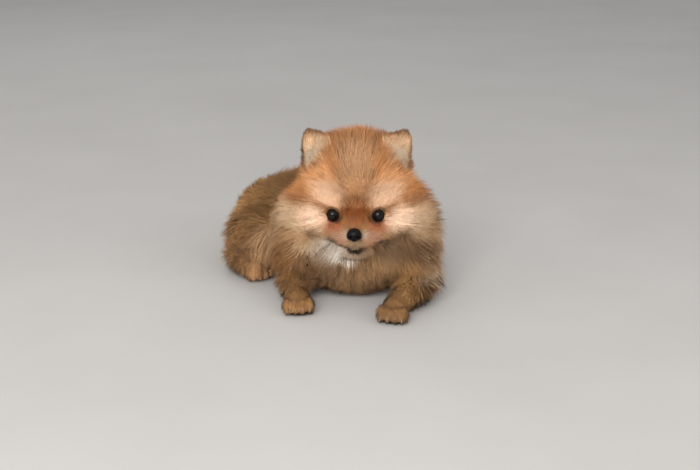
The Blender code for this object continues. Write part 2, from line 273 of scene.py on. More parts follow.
class Nodes:
    """A short way to write a shader tree."""

    def __init__(self, name: str) -> None:
        """Starts a material with an empty tree and its output.

        Args:
            name: the material's name.
        """
        self.material = bpy.data.materials.new(name)
        self.material.use_nodes = True
        self.tree = self.material.node_tree
        self.tree.nodes.clear()
        self.shader = self.add("ShaderNodeBsdfPrincipled")
        output = self.add("ShaderNodeOutputMaterial")
        self.tree.links.new(self.shader.outputs["BSDF"], output.inputs["Surface"])

    def add(self, kind: str, **settings: object) -> bpy.types.Node:
        """Adds a node.

        Args:
            kind: the node's type.
            settings: properties of the node, and values for inputs under their names with _ for a space.

        Returns:
            The new node.
        """
        node = self.tree.nodes.new(kind)
        for key, value in settings.items():
            if hasattr(node, key):
                setattr(node, key, value)
            else:
                node.inputs[key.replace("_", " ")].default_value = value
        return node

    def link(self, source: bpy.types.NodeSocket, node: bpy.types.Node, name: str | int) -> None:
        """Joins an output to an input of a node."""
        self.tree.links.new(source, node.inputs[name])

    def value(self, name: str) -> bpy.types.NodeSocket:
        """A number that the mesh carries at each point."""
        return self.add("ShaderNodeAttribute", attribute_name=name).outputs["Fac"]

    def colour(self, name: str) -> bpy.types.NodeSocket:
        """A colour that the mesh carries at each point."""
        return self.add("ShaderNodeAttribute", attribute_name=name).outputs["Color"]

    def noise(self, scale: float, detail: float = 3.0, rough: float = 0.55) -> bpy.types.NodeSocket:
        """Noise on the object's own coordinates.

        Args:
            scale: how many features there are in a metre.
            detail: how many finer layers it has.
            rough: how strong the finer layers are.

        Returns:
            A number between 0 and 1.
        """
        place = self.add("ShaderNodeTexCoord").outputs["Object"]
        node = self.add("ShaderNodeTexNoise", Scale=scale, Detail=detail, Roughness=rough)
        self.link(place, node, "Vector")
        return node.outputs["Fac"]

    def spread(self, source: bpy.types.NodeSocket, low: float, high: float,
               start: float = 0.0, end: float = 1.0) -> bpy.types.NodeSocket:
        """A number moved from one span to another.

        Args:
            source: the number.
            low: what it becomes where its span starts.
            high: what it becomes where its span ends.
            start: where its span starts.
            end: where its span ends.

        Returns:
            The moved number.
        """
        node = self.add("ShaderNodeMapRange")
        for name, number in (("From Min", start), ("From Max", end), ("To Min", low), ("To Max", high)):
            node.inputs[name].default_value = number
        self.link(source, node, "Value")
        return node.outputs["Result"]

    def times(self, first: bpy.types.NodeSocket, second: bpy.types.NodeSocket) -> bpy.types.NodeSocket:
        """The product of two numbers.

        Args:
            first: a number.
            second: another number.

        Returns:
            The product.
        """
        node = self.add("ShaderNodeMath", operation="MULTIPLY")
        self.link(first, node, 0)
        self.link(second, node, 1)
        return node.outputs[0]

    def mix(self, share: bpy.types.NodeSocket | float, first: object, second: object,
            mode: str = "MIX") -> bpy.types.NodeSocket:
        """Two colours mixed by a share.

        Args:
            share: how much of the second colour is laid on the first.
            first: a colour, or the socket of one.
            second: a colour, or the socket of one.
            mode: how the second colour is laid on.

        Returns:
            The mixed colour.
        """
        node = self.add("ShaderNodeMix", data_type="RGBA", blend_type=mode)
        for index, value in ((0, share), (6, first), (7, second)):
            if isinstance(value, bpy.types.NodeSocket):
                self.tree.links.new(value, node.inputs[index])
            elif index:
                node.inputs[index].default_value = (*value, 1.0)
            else:
                node.inputs[index].default_value = value
        return node.outputs[2]

    def shaded(self, colour: bpy.types.NodeSocket, shade: bpy.types.NodeSocket) -> bpy.types.NodeSocket:
        """A colour made lighter or darker.

        Args:
            colour: the colour.
            shade: the number that multiplies it.

        Returns:
            The shaded colour.
        """
        grey = self.add("ShaderNodeCombineColor")
        for name in ("Red", "Green", "Blue"):
            self.link(shade, grey, name)
        return self.mix(1.0, colour, grey.outputs[0], "MULTIPLY")

    def surface(self, colour: bpy.types.NodeSocket, rough: bpy.types.NodeSocket) -> None:
        """Joins a colour and a roughness to the shader."""
        self.link(colour, self.shader, "Base Color")
        self.link(rough, self.shader, "Roughness")

    def bump(self, height: bpy.types.NodeSocket, distance: float, strength: float = 1.0) -> None:
        """Lets a height shade the surface.

        Args:
            height: the height, as a share of its full swing.
            distance: the full swing in metres.
            strength: how strongly it shades.
        """
        node = self.add("ShaderNodeBump", Distance=distance, Strength=strength)
        self.link(height, node, "Height")
        self.link(node.outputs["Normal"], self.shader, "Normal")

    def dress(self, **constants: float) -> bpy.types.Material:
        """Sets constants on the shader and gives the material back."""
        for key, value in constants.items():
            self.shader.inputs[key.replace("_", " ")].default_value = value
        return self.material


@dataclass(frozen=True)
class CoatFinish:
    """Hair: it carries the coat's colours, is darker towards its root as painted shade deep in the coat, and
    differs from strand to strand.
    """

    name: str = "coat"
    roughness: float = 0.62
    sheen: float = 0.02

    def material(self) -> bpy.types.Material:
        """Builds the material."""
        nodes = Nodes(self.name)
        own = nodes.spread(nodes.value(STRAND), 0.88, 1.12)
        # painted shade: each hair darkens towards its root, deep in the coat, and is a little lighter towards
        # its tip
        root = nodes.spread(nodes.value(ALONG), 0.74, 1.04, 0.0, 0.55)
        patch = nodes.spread(nodes.noise(420.0), 0.86, 1.12, 0.3, 0.7)
        shade = nodes.times(nodes.times(own, root), patch)
        rough = nodes.spread(nodes.value(STRAND), self.roughness - 0.07, self.roughness + 0.08)
        nodes.surface(nodes.shaded(nodes.colour(MARKINGS_AND_SHADING), shade), rough)
        return nodes.dress(Specular_IOR_Level=0.13, Sheen_Weight=self.sheen, Sheen_Roughness=0.45)


@dataclass(frozen=True)
class SkinFinish:
    """Skin and the short hair that lies flat on it."""

    name: str = "skin"
    roughness: float = 0.7
    flush: Place = (0.70, 0.52, 0.44)

    def material(self) -> bpy.types.Material:
        """Builds the material."""
        nodes = Nodes(self.name)
        fine = nodes.noise(1500.0, 4.0, 0.6)
        share = nodes.spread(nodes.noise(160.0), 0.0, 0.5, 0.35, 0.7)
        flush = nodes.mix(share, (1.0, 1.0, 1.0), self.flush)
        colour = nodes.mix(1.0, nodes.colour(MARKINGS_AND_SHADING), flush, "MULTIPLY")
        rough = nodes.spread(fine, self.roughness - 0.1, self.roughness + 0.1)
        nodes.surface(nodes.shaded(colour, nodes.spread(fine, 0.8, 1.15, 0.3, 0.7)), rough)
        nodes.bump(fine, 0.0003, 0.6)
        return nodes.dress(Specular_IOR_Level=0.14)


@dataclass(frozen=True)
class NoseFinish:
    """The moist pebbled leather of the nose."""

    name: str = "nose"
    dark: Place = (0.0018, 0.0016, 0.0016)
    pale: Place = (0.005, 0.004, 0.004)

    def material(self) -> bpy.types.Material:
        """Builds the material."""
        nodes = Nodes(self.name)
        place = nodes.add("ShaderNodeTexCoord").outputs["Object"]
        pebble = nodes.add("ShaderNodeTexVoronoi", feature="F1", Scale=1500.0)
        nodes.link(place, pebble, "Vector")
        patch = nodes.noise(500.0)
        colour = nodes.mix(nodes.spread(patch, 0.0, 1.0, 0.35, 0.65), self.dark, self.pale)
        nodes.surface(colour, nodes.spread(patch, 0.30, 0.46, 0.3, 0.7))
        nodes.bump(nodes.spread(pebble.outputs["Distance"], 1.0, 0.0, 0.0, 0.7), 0.0002, 0.4)
        return nodes.dress(Specular_IOR_Level=0.14, Coat_Weight=0.05, Coat_Roughness=0.10)


@dataclass(frozen=True)
class EyeFinish:
    """A dark wet eye: pupil, iris, dark rim and the white that the lids nearly hide."""

    name: str = "eye"
    fibre: Place = (0.006, 0.004, 0.003)
    stops: tuple = (
        (0.0, (0.002, 0.002, 0.002)), (0.27, (0.002, 0.002, 0.002)), (0.31, (0.008, 0.004, 0.003)),
        (0.44, (0.010, 0.006, 0.004)), (0.52, (0.003, 0.002, 0.002)), (0.62, (0.010, 0.007, 0.006)),
        (0.70, (0.09, 0.055, 0.045)))

    def material(self) -> bpy.types.Material:
        """Builds the material."""
        nodes = Nodes(self.name)
        gaze = nodes.value(GAZE)
        ramp = nodes.add("ShaderNodeValToRGB")
        nodes.link(gaze, ramp, "Fac")
        elements = ramp.color_ramp.elements
        while len(elements) < len(self.stops):
            elements.new(0.5)
        for element, (where, colour) in zip(elements, self.stops):
            element.position = where
            element.color = (*colour, 1.0)
        share = nodes.spread(nodes.noise(2600.0), 0.0, 0.5, 0.35, 0.65)
        colour = nodes.mix(share, ramp.outputs["Color"], self.fibre)
        nodes.surface(colour, nodes.spread(gaze, 0.04, 0.12, 0.5, 0.8))
        return nodes.dress(IOR=1.40, Specular_IOR_Level=0.36, Coat_Weight=0.06, Coat_Roughness=0.03)


@dataclass(frozen=True)
class HornFinish:
    """Claws: horn mottled dark and pale, with a fine noisy grain in its bump and roughness."""

    name: str = "claw"
    pale: Place = (0.30, 0.22, 0.17)
    dark: Place = (0.035, 0.026, 0.022)

    def material(self) -> bpy.types.Material:
        """Builds the material."""
        nodes = Nodes(self.name)
        lines = nodes.noise(2400.0, 4.0)
        share = nodes.spread(nodes.noise(300.0), 0.0, 1.0, 0.35, 0.65)
        nodes.surface(nodes.mix(share, self.dark, self.pale), nodes.spread(lines, 0.28, 0.45))
        nodes.bump(lines, 0.00008, 0.6)
        return nodes.dress(Specular_IOR_Level=0.5)


@dataclass(frozen=True)
class WhiskerFinish:
    """Whiskers: stiff, glossy and nearly black."""

    name: str = "whisker"
    dark: Place = (0.03, 0.022, 0.018)
    pale: Place = (0.16, 0.12, 0.09)

    def material(self) -> bpy.types.Material:
        """Builds the material."""
        nodes = Nodes(self.name)
        share = nodes.spread(nodes.noise(260.0), 0.0, 1.0, 0.35, 0.65)
        nodes.surface(nodes.mix(share, self.dark, self.pale), nodes.spread(nodes.noise(900.0), 0.3, 0.5))
        return nodes.dress(Specular_IOR_Level=0.5)


@dataclass(frozen=True)
class FloorFinish:
    """A plain pale matt floor."""

    name: str = "studio_floor"
    dark: Place = (0.50, 0.485, 0.465)
    pale: Place = (0.53, 0.515, 0.495)

    def material(self) -> bpy.types.Material:
        """Builds the material."""
        nodes = Nodes(self.name)
        share = nodes.spread(nodes.noise(6.0), 0.0, 1.0, 0.3, 0.7)
        nodes.surface(nodes.mix(share, self.dark, self.pale), nodes.spread(nodes.noise(90.0), 0.62, 0.72))
        return nodes.dress(Specular_IOR_Level=0.25)


# --- Coat colours, painted shade and painted light ----------------------------------------------------------


class Tone(Enum):
    """The colours of the coat, as screen values."""

    GOLDEN = (182, 136, 84)
    SABLE = (144, 107, 70)
    UMBER = (98, 73, 52)
    RUFF = (184, 157, 126)
    RUFF_PALE = (206, 176, 143)
    BROWN = (128, 88, 52)
    ORANGE = (192, 126, 72)
    DEEP_ORANGE = (179, 122, 75)
    CROWN = (158, 112, 74)
    RUST = (116, 60, 22)
    RUST_RED = (177, 103, 67)
    PINKISH = (174, 130, 102)
    STREAK = (152, 101, 61)
    PEACH = (230, 172, 120)
    BROW = (232, 190, 155)
    CREAM = (236, 199, 168)
    TAN = (183, 139, 101)
    PALE = (248, 240, 228)
    ASH = (206, 193, 177)
    CHIN = (160, 134, 108)
    EAR_RIM = (182, 126, 81)
    EAR_CREAM = (216, 181, 145)
    EAR_GREY = (196, 178, 154)
    EAR_SKIN = (206, 160, 140)
    DARK = (52, 36, 28)
    BLACK = (22, 17, 15)

    def light(self) -> Array:
        """The tone in scene light."""
        return linear(*self.value)


@dataclass(frozen=True)
class Patch:
    """A soft-edged patch of one tone."""

    part: Part
    place: Place
    radii: Place
    tone: Tone
    strength: float = 1.0
    pair: bool = False
    edge: float = 0.45


@dataclass(frozen=True)
class Streak:
    """A soft-edged band of one tone along a line of places."""

    part: Part
    places: tuple[Place, ...]
    width: float
    tone: Tone
    strength: float = 1.0
    pair: bool = True


class Ripple:
    """A smooth random field, as a sum of waves in random directions."""

    def __init__(self, seed: int, length: float, count: int = 12) -> None:
        """Draws the waves.

        Args:
            seed: fixes the draw.
            length: the usual wavelength in metres.
            count: how many waves are summed.
        """
        draw = np.random.default_rng(seed)
        ways = unit(draw.normal(size=(count, 3)))
        self.waves = ways * (2 * math.pi / (length * draw.uniform(0.6, 1.7, (count, 1))))
        self.phases = draw.uniform(0, 2 * math.pi, count)

    def at(self, points: Array) -> Array:
        """The field at points, mostly between -1 and 1."""
        return np.sin(points @ self.waves.T + self.phases).sum(1) / math.sqrt(len(self.phases) / 2) / 1.4


@dataclass
class MarkingsAndShading:
    """The puppy's colours: patches laid one over another, some of which are painted shade and painted light.
    """

    posture: Posture
    blotch_seed: int = 3
    blotch_length: float = 0.030
    blotch_share: float = 0.45

    def layers(self) -> tuple[Patch | Streak, ...]:
        """The patches, from the ground colour up."""
        skull, face, hips, loins = Part.SKULL, Part.FACE, Part.HIPS, Part.LOINS
        return (
            # trunk and legs
            Patch(loins, (0, 10, 70), (34, 80, 26), Tone.BROWN, 0.6),
            Patch(loins, (-45, 0, 22), (22, 60, 26), Tone.GOLDEN, 0.6),
            Patch(hips, (-16, 0, 66), (26, 30, 12), Tone.UMBER, 0.5),
            Patch(hips, (-68, -4, 32), (14, 20, 20), Tone.SABLE, 0.8),
            Patch(hips, (0, -30, 30), (50, 30, 36), Tone.GOLDEN, 0.5),
            Patch(face, (0, -34, 42), (80, 34, 44), Tone.RUFF, 0.9),
            # painted shade: dark tone low on the chest, between the forelegs
            Patch(face, (0, -5, 10), (58, 34, 17), Tone.UMBER, 0.6),
            # painted shade: the dark band where the ruff meets the right flank
            Patch(face, (-60, -30, 34), (10, 30, 30), Tone.BROWN, 0.5),
            Patch(face, (-44, -2, 26), (16, 22, 9), Tone.BROWN, 0.5),
            Patch(face, (38, -2, 40), (26, 22, 12), Tone.UMBER, 0.65),
            Patch(face, (57, 4, 38), (12, 19, 9), Tone.UMBER, 0.85),
            Patch(face, (62, 8, 22), (14, 26, 6), Tone.RUFF_PALE, 0.95),
            # painted light: paler tone in the shaded hollow before the right hind leg and low beside it by
            # the floor
            Patch(loins, (-76, 8, 22), (12, 22, 18), Tone.PEACH, 0.15),
            Patch(hips, (-71, 30, 8), (13, 15, 9), Tone.PEACH, 0.25),
            Patch(face, (-44, 0, 38), (12, 18, 8), Tone.RUFF, 0.5),
            Patch(face, (-53, -6, 50), (15, 22, 14), Tone.SABLE, 0.15),
            # painted shade: more of the dark band between the ruff and the right flank
            Patch(face, (-62, -4, 31), (9, 18, 12), Tone.BROWN, 0.8),
            # painted shade: dark tone low on the chest's right side, below the pale bib
            Patch(face, (-30, 4, 29), (18, 20, 7), Tone.UMBER, 0.45),
            Patch(face, (60, -8, 58), (16, 22, 10), Tone.RUFF, 0.6),
            Patch(face, (62, -13, 70), (15, 24, 20), Tone.SABLE, 1.0),
            Patch(face, (-18, 6, 42), (17, 20, 10), Tone.ASH, 0.9),
            Patch(face, (-9, 10, 39), (11, 18, 8), Tone.PALE, 0.8),
            # head
            Patch(skull, (0, -4, 8), (60, 44, 44), Tone.ORANGE, 1.0, edge=0.22),
            Patch(skull, (0, -44, 4), (48, 26, 42), Tone.SABLE, 0.7, edge=0.6),
            Patch(skull, (0, 15, 42), (36, 22, 15), Tone.CROWN, 0.85),
            Patch(skull, (18, 14, 40), (10, 14, 10), Tone.BROWN, 0.45, True),
            Patch(skull, (47, 0, 14), (14, 26, 26), Tone.DEEP_ORANGE, 0.75, True),
            Patch(skull, (0, 26, 20), (20, 22, 27), Tone.TAN, 0.95),
            Patch(skull, (21, 24, 26), (8, 12, 9), Tone.ORANGE, 0.45, True),
            Patch(skull, (32, 18, 12), (16, 22, 14), Tone.PEACH, 0.75, True),
            Patch(skull, (24, 26, 2), (16, 18, 11), Tone.BROW, 0.95, True),
            Patch(skull, (47, 12, 3), (9, 18, 10), Tone.DEEP_ORANGE, 0.7, True),
            Patch(skull, (46, 12, -18), (16, 24, 12), Tone.RUFF_PALE, 0.75, True),
            Patch(skull, (33.5, 20, -18), (14, 24, 10), Tone.CREAM, 1.0, True),
            Patch(skull, (16, 32, -21), (10, 14, 5.5), Tone.RUST_RED, 0.9, True),
            # partly the paler tone of the low forehead, partly painted light that lifts the shade in the
            # hollow between the brows
            Patch(skull, (0, 31, 8), (9, 14, 9), Tone.PEACH, 0.65, edge=0.7),
            Patch(skull, (0, 35, -8), (10, 15, 10), Tone.RUST, 0.95, edge=0.6),
            Patch(skull, (11, 46, -24), (6, 10, 4.5), Tone.PINKISH, 0.7, True),
            Patch(skull, (14, 42, -28), (9, 14, 6), Tone.PINKISH, 0.9, True),
            Patch(skull, (0, 45, -14), (6, 9, 6), Tone.RUST_RED, 0.4),
            Patch(skull, (7.8, 50, -23), (2.6, 8, 3.6), Tone.PALE, 0.28, True),
            Patch(skull, (0, 53, -31), (8, 9, 5.5), Tone.CHIN, 0.8),
            Patch(skull, (0, 44, -42), (16, 18, 6), Tone.CHIN, 0.85),
            Streak(skull, ((-1, 41, -13), (-1.5, 34, -6)), 2.6, Tone.UMBER, 0.6, False),
            Streak(skull, ((10, 33, -7), (9, 32, -2)), 1.7, Tone.RUST, 0.8),
            Streak(skull, ((22, 30, -10), (36, 23, -6), (54, 10, -4)), 5.0, Tone.STREAK, 0.9),
            Streak(skull, ((21, 30, -11), (30, 26, -8)), 2.2, Tone.BROWN, 0.5),
            Streak(skull, ((22, 28, -18), (28, 25, -15)), 1.4, Tone.BROWN, 0.6),
            Streak(skull, ((7, 30, 4), (15, 26, 20), (24, 16, 34)), 2.6, Tone.STREAK, 0.35),
            Streak(skull, ((-21, 38, -30.5), (-14, 46, -31), (-8, 48, -34), (-3, 50, -37)), 2.7, Tone.DARK,
                   0.9, False),
            Streak(skull, ((3, 50, -37), (11, 45, -36), (15, 42, -34.5), (19, 38, -34), (25, 29, -35)), 3.2,
                   Tone.DARK, 0.95, False),
            Streak(skull, ((0, 57, -27), (0, 50, -35)), 1.6, Tone.BLACK, 0.7, False),
        )

    def at(self, points: Array) -> Array:
        """Colours at points in metres.

        Args:
            points: one point in each row.

        Returns:
            One colour in each row.
        """
        frames = self.posture.frames
        colours = np.tile(Tone.SABLE.light(), (len(points), 1))
        blotch = Ripple(self.blotch_seed, self.blotch_length).at(points)[:, None] * 0.5 + 0.5
        golden = Tone.GOLDEN.light() * self.blotch_share * blotch
        colours = colours * (1 - self.blotch_share * blotch) + golden
        layers = self.layers()
        local = {part: frames[part].local(points) for part in {layer.part for layer in layers}}
        for layer in layers:
            for side in SIDES if layer.pair else SIDES[:1]:
                share = self.share(layer, local[layer.part] * (side, 1, 1))
                colours = blend(colours, layer.tone.light(), share)
        return self.on_ears(points, colours)

    @staticmethod
    def share(layer: Patch | Streak, own: Array) -> Array:
        """How fully a layer covers points.

        Args:
            layer: the patch or streak.
            own: the points in the millimetres of the layer's part.

        Returns:
            A share for each point.
        """
        if isinstance(layer, Patch):
            away = np.linalg.norm((own - np.array(layer.place)) / np.array(layer.radii), axis=1)
            return layer.strength * smoothstep(1 + layer.edge, 1 - layer.edge, away)
        away = line_distance(own, np.array(layer.places, float))
        return layer.strength * smoothstep(layer.width * 1.4, layer.width * 0.5, away)

    def on_ears(self, points: Array, colours: Array) -> Array:
        """Lays the ears' colours over the head's.

        Args:
            points: one point in each row.
            colours: the colours there so far.

        Returns:
            The colours with the ears' rims, dark brims and pale cups.
        """
        for side, part in zip(SIDES, EARS):
            own = self.posture.frames[part].local(points)
            outer, ahead, up = own[:, 0] * side, own[:, 1], own[:, 2]
            within = smoothstep(1.15, 0.95, np.linalg.norm(own / (17, 12, 27), axis=1))
            within *= smoothstep(-14, -6, up) * smoothstep(-9, -6, ahead)
            colours = blend(colours, Tone.EAR_RIM.light(), within)
            height = up + np.abs(outer - 3) * 0.25
            brim = np.maximum(smoothstep(8.0, 11.0, outer), smoothstep(14, 17.5, height))
            colours = blend(colours, Tone.UMBER.light(), brim * within * 0.75)
            above = (outer + 12) * 0.65 + (up - 9) * 0.76 + 2.0
            cup = smoothstep(-1.0, 3.0, above) * smoothstep(-1.0, 1.5, ahead)
            cup *= smoothstep(9.0, 6.8, outer) * smoothstep(17.5, 14.0, height)
            colours = blend(colours, Tone.EAR_CREAM.light(), cup * within)
            colours = blend(colours, Tone.EAR_GREY.light(), cup * smoothstep(9, 0, up) * within)
        return colours


def blend(colours: Array, tone: Array, share: Array) -> Array:
    """Colours moved towards one tone by a share for each row."""
    return colours * (1 - share[:, None]) + tone * share[:, None]


def line_distance(points: Array, line: Array) -> Array:
    """The distance from points to a bent line.

    Args:
        points: one point in each row.
        line: the line's corners in order.

    Returns:
        One distance for each point.
    """
    best = np.full(len(points), np.inf)
    for start, end in zip(line[:-1], line[1:]):
        span = end - start
        share = np.clip((points - start) @ span / (span @ span), 0, 1)
        best = np.minimum(best, np.linalg.norm(points - start - share[:, None] * span, axis=1))
    return best


# --- Mesh tools ---------------------------------------------------------------------------------------------


def mesh_object(name: str, vertices: Array, faces: Array) -> bpy.types.Object:
    """A mesh object from arrays.

    Args:
        name: the object's name.
        vertices: places in metres.
        faces: triangles as rows of vertex numbers.

    Returns:
        The object, linked to the scene.
    """
    mesh = bpy.data.meshes.new(name)
    mesh.vertices.add(len(vertices))
    mesh.vertices.foreach_set("co", vertices.astype(np.float32).ravel())
    mesh.loops.add(len(faces) * 3)
    mesh.loops.foreach_set("vertex_index", faces.astype(np.int32).ravel())
    mesh.polygons.add(len(faces))
    mesh.polygons.foreach_set("loop_start", np.arange(0, len(faces) * 3, 3, dtype=np.int32))
    mesh.polygons.foreach_set("use_smooth", np.ones(len(faces), bool))
    mesh.update(calc_edges=True)
    made = bpy.data.objects.new(name, mesh)
    bpy.context.scene.collection.objects.link(made)
    return made


def carry(mesh: bpy.types.Mesh, name: str, values: Array) -> None:
    """Stores a number or a colour at each point of a mesh.

    Args:
        mesh: the mesh.
        name: the attribute's name.
        values: one number or one colour for each point.
    """
    if values.ndim == 1:
        mesh.attributes.new(name, "FLOAT", "POINT").data.foreach_set("value", values.astype(np.float32))
        return
    full = np.ones((len(values), 4), np.float32)
    full[:, :3] = values
    mesh.attributes.new(name, "FLOAT_COLOR", "POINT").data.foreach_set("color", full.ravel())


def read(items: bpy.types.bpy_prop_collection, name: str, width: int, kind: type = np.float32) -> Array:
    """Reads one property of every item of a mesh.

    Args:
        items: the items, such as a mesh's vertices.
        name: the property.
        width: how many numbers it has.
        kind: the kind of its numbers.

    Returns:
        One row for each item.
    """
    flat = np.empty(len(items) * width, kind)
    items.foreach_get(name, flat)
    return flat.reshape(-1, width)


def points_of(mesh: bpy.types.Mesh) -> Array:
    """The places of a mesh's vertices."""
    return read(mesh.vertices, "co", 3).astype(float)


def normals_of(mesh: bpy.types.Mesh) -> Array:
    """The outward directions at a mesh's vertices."""
    return read(mesh.vertices, "normal", 3).astype(float)


def baked(source: bpy.types.Object, name: str) -> bpy.types.Object:
    """A plain mesh of an object with its modifiers applied.

    Args:
        source: the object, which is removed.
        name: the name of what replaces it.

    Returns:
        The plain object.
    """
    graph = bpy.context.evaluated_depsgraph_get()
    mesh = bpy.data.meshes.new_from_object(source.evaluated_get(graph))
    mesh.name = name
    made = bpy.data.objects.new(name, mesh)
    bpy.context.scene.collection.objects.link(made)
    bpy.data.objects.remove(source)
    made.name = name
    return made


@dataclass(frozen=True)
class Mass:
    """A soft rounded mass, as an ellipsoid in a part's own millimetres."""

    frame: Frame
    place: Place
    radii: Place


def masses_along(own: Frame, places: Sequence[Place], radii: Sequence[float], steps: int) -> Iterator[Mass]:
    """Round masses along a limb.

    Args:
        own: the limb's frame.
        places: where the limb bends, in order.
        radii: its radius at each of them.
        steps: how many steps there are from one to the next.

    Yields:
        Masses with evenly changing places and radii.
    """
    for index in range(len(places) - 1):
        for step in range(steps + 1):
            share = step / steps
            place = np.array(places[index]) * (1 - share) + np.array(places[index + 1]) * share
            radius = radii[index] * (1 - share) + radii[index + 1] * share
            yield Mass(own, tuple(place), (radius, radius, radius))


def remeshed(shape: bmesh.types.BMesh, name: str, voxel: float, smoothing: int = 0) -> bpy.types.Object:
    """One closed mesh round the solids of a shape.

    Args:
        shape: closed solids that overlap; the shape is used up.
        name: the object's name.
        voxel: the size of the mesh's faces in metres.
        smoothing: how many rounds of smoothing follow.

    Returns:
        The closed object.
    """
    mesh = bpy.data.meshes.new(name)
    shape.to_mesh(mesh)
    shape.free()
    rough = bpy.data.objects.new(name + "_rough", mesh)
    bpy.context.scene.collection.objects.link(rough)
    remesh = rough.modifiers.new("fuse", "REMESH")
    remesh.mode = "VOXEL"
    remesh.voxel_size = voxel
    if smoothing:
        smooth = rough.modifiers.new("soften", "SMOOTH")
        smooth.iterations = smoothing
        smooth.factor = 0.5
    return baked(rough, name)


def fused(name: str, masses: Iterable[Mass], voxel: float, smoothing: int,
          rings: int = 3) -> bpy.types.Object:
    """One closed mesh over many masses.

    Args:
        name: the object's name.
        masses: the masses, which overlap.
        voxel: the size of the mesh's faces in metres.
        smoothing: how many rounds of smoothing follow.
        rings: how finely each mass is drawn before the fusing.

    Returns:
        The fused object.
    """
    shape = bmesh.new()
    for mass in masses:
        size = Matrix.Diagonal((*(radius * MM for radius in mass.radii), 1.0))
        place = Matrix.Translation(Vector(mass.place) * MM)
        bmesh.ops.create_icosphere(shape, subdivisions=rings, radius=1.0,
                                   matrix=mass.frame.matrix() @ place @ size)
    bmesh.ops.recalc_face_normals(shape, faces=shape.faces)
    return remeshed(shape, name, voxel, smoothing)


def tube(line: Array, radii: Array, closed: bool, sides: int = 10) -> tuple[Array, Array]:
    """A round closed solid along a bent line.

    Args:
        line: places in metres.
        radii: the solid's radius at each place.
        closed: whether the line comes back to its start.
        sides: how many faces go round it.

    Returns:
        Places, and triangles as rows of place numbers.
    """
    count, aslant = len(line), (0.31, 0.17, 0.93)
    ahead = unit(np.roll(line, -1, 0) - np.roll(line, 1, 0) if closed else np.gradient(line, axis=0))
    side = unit(np.cross(ahead, aslant))
    turn = np.linspace(0, 2 * math.pi, sides, endpoint=False)
    across = side[:, None] * np.cos(turn)[:, None] + np.cross(ahead, side)[:, None] * np.sin(turn)[:, None]
    points = (line[:, None] + across * radii[:, None, None]).reshape(-1, 3)
    faces = []
    for ring in range(count if closed else count - 1):
        low, high = ring * sides, (ring + 1) % count * sides
        for step in range(sides):
            after = (step + 1) % sides
            faces += [(low + step, low + after, high + after), (low + step, high + after, high + step)]
    if not closed:
        last = (count - 1) * sides
        for step in range(1, sides - 1):
            faces += [(0, step + 1, step), (last, last + step, last + step + 1)]
    return points, outward(points - points.mean(0), np.array(faces))


# --- The skin -----------------------------------------------------------------------------------------------


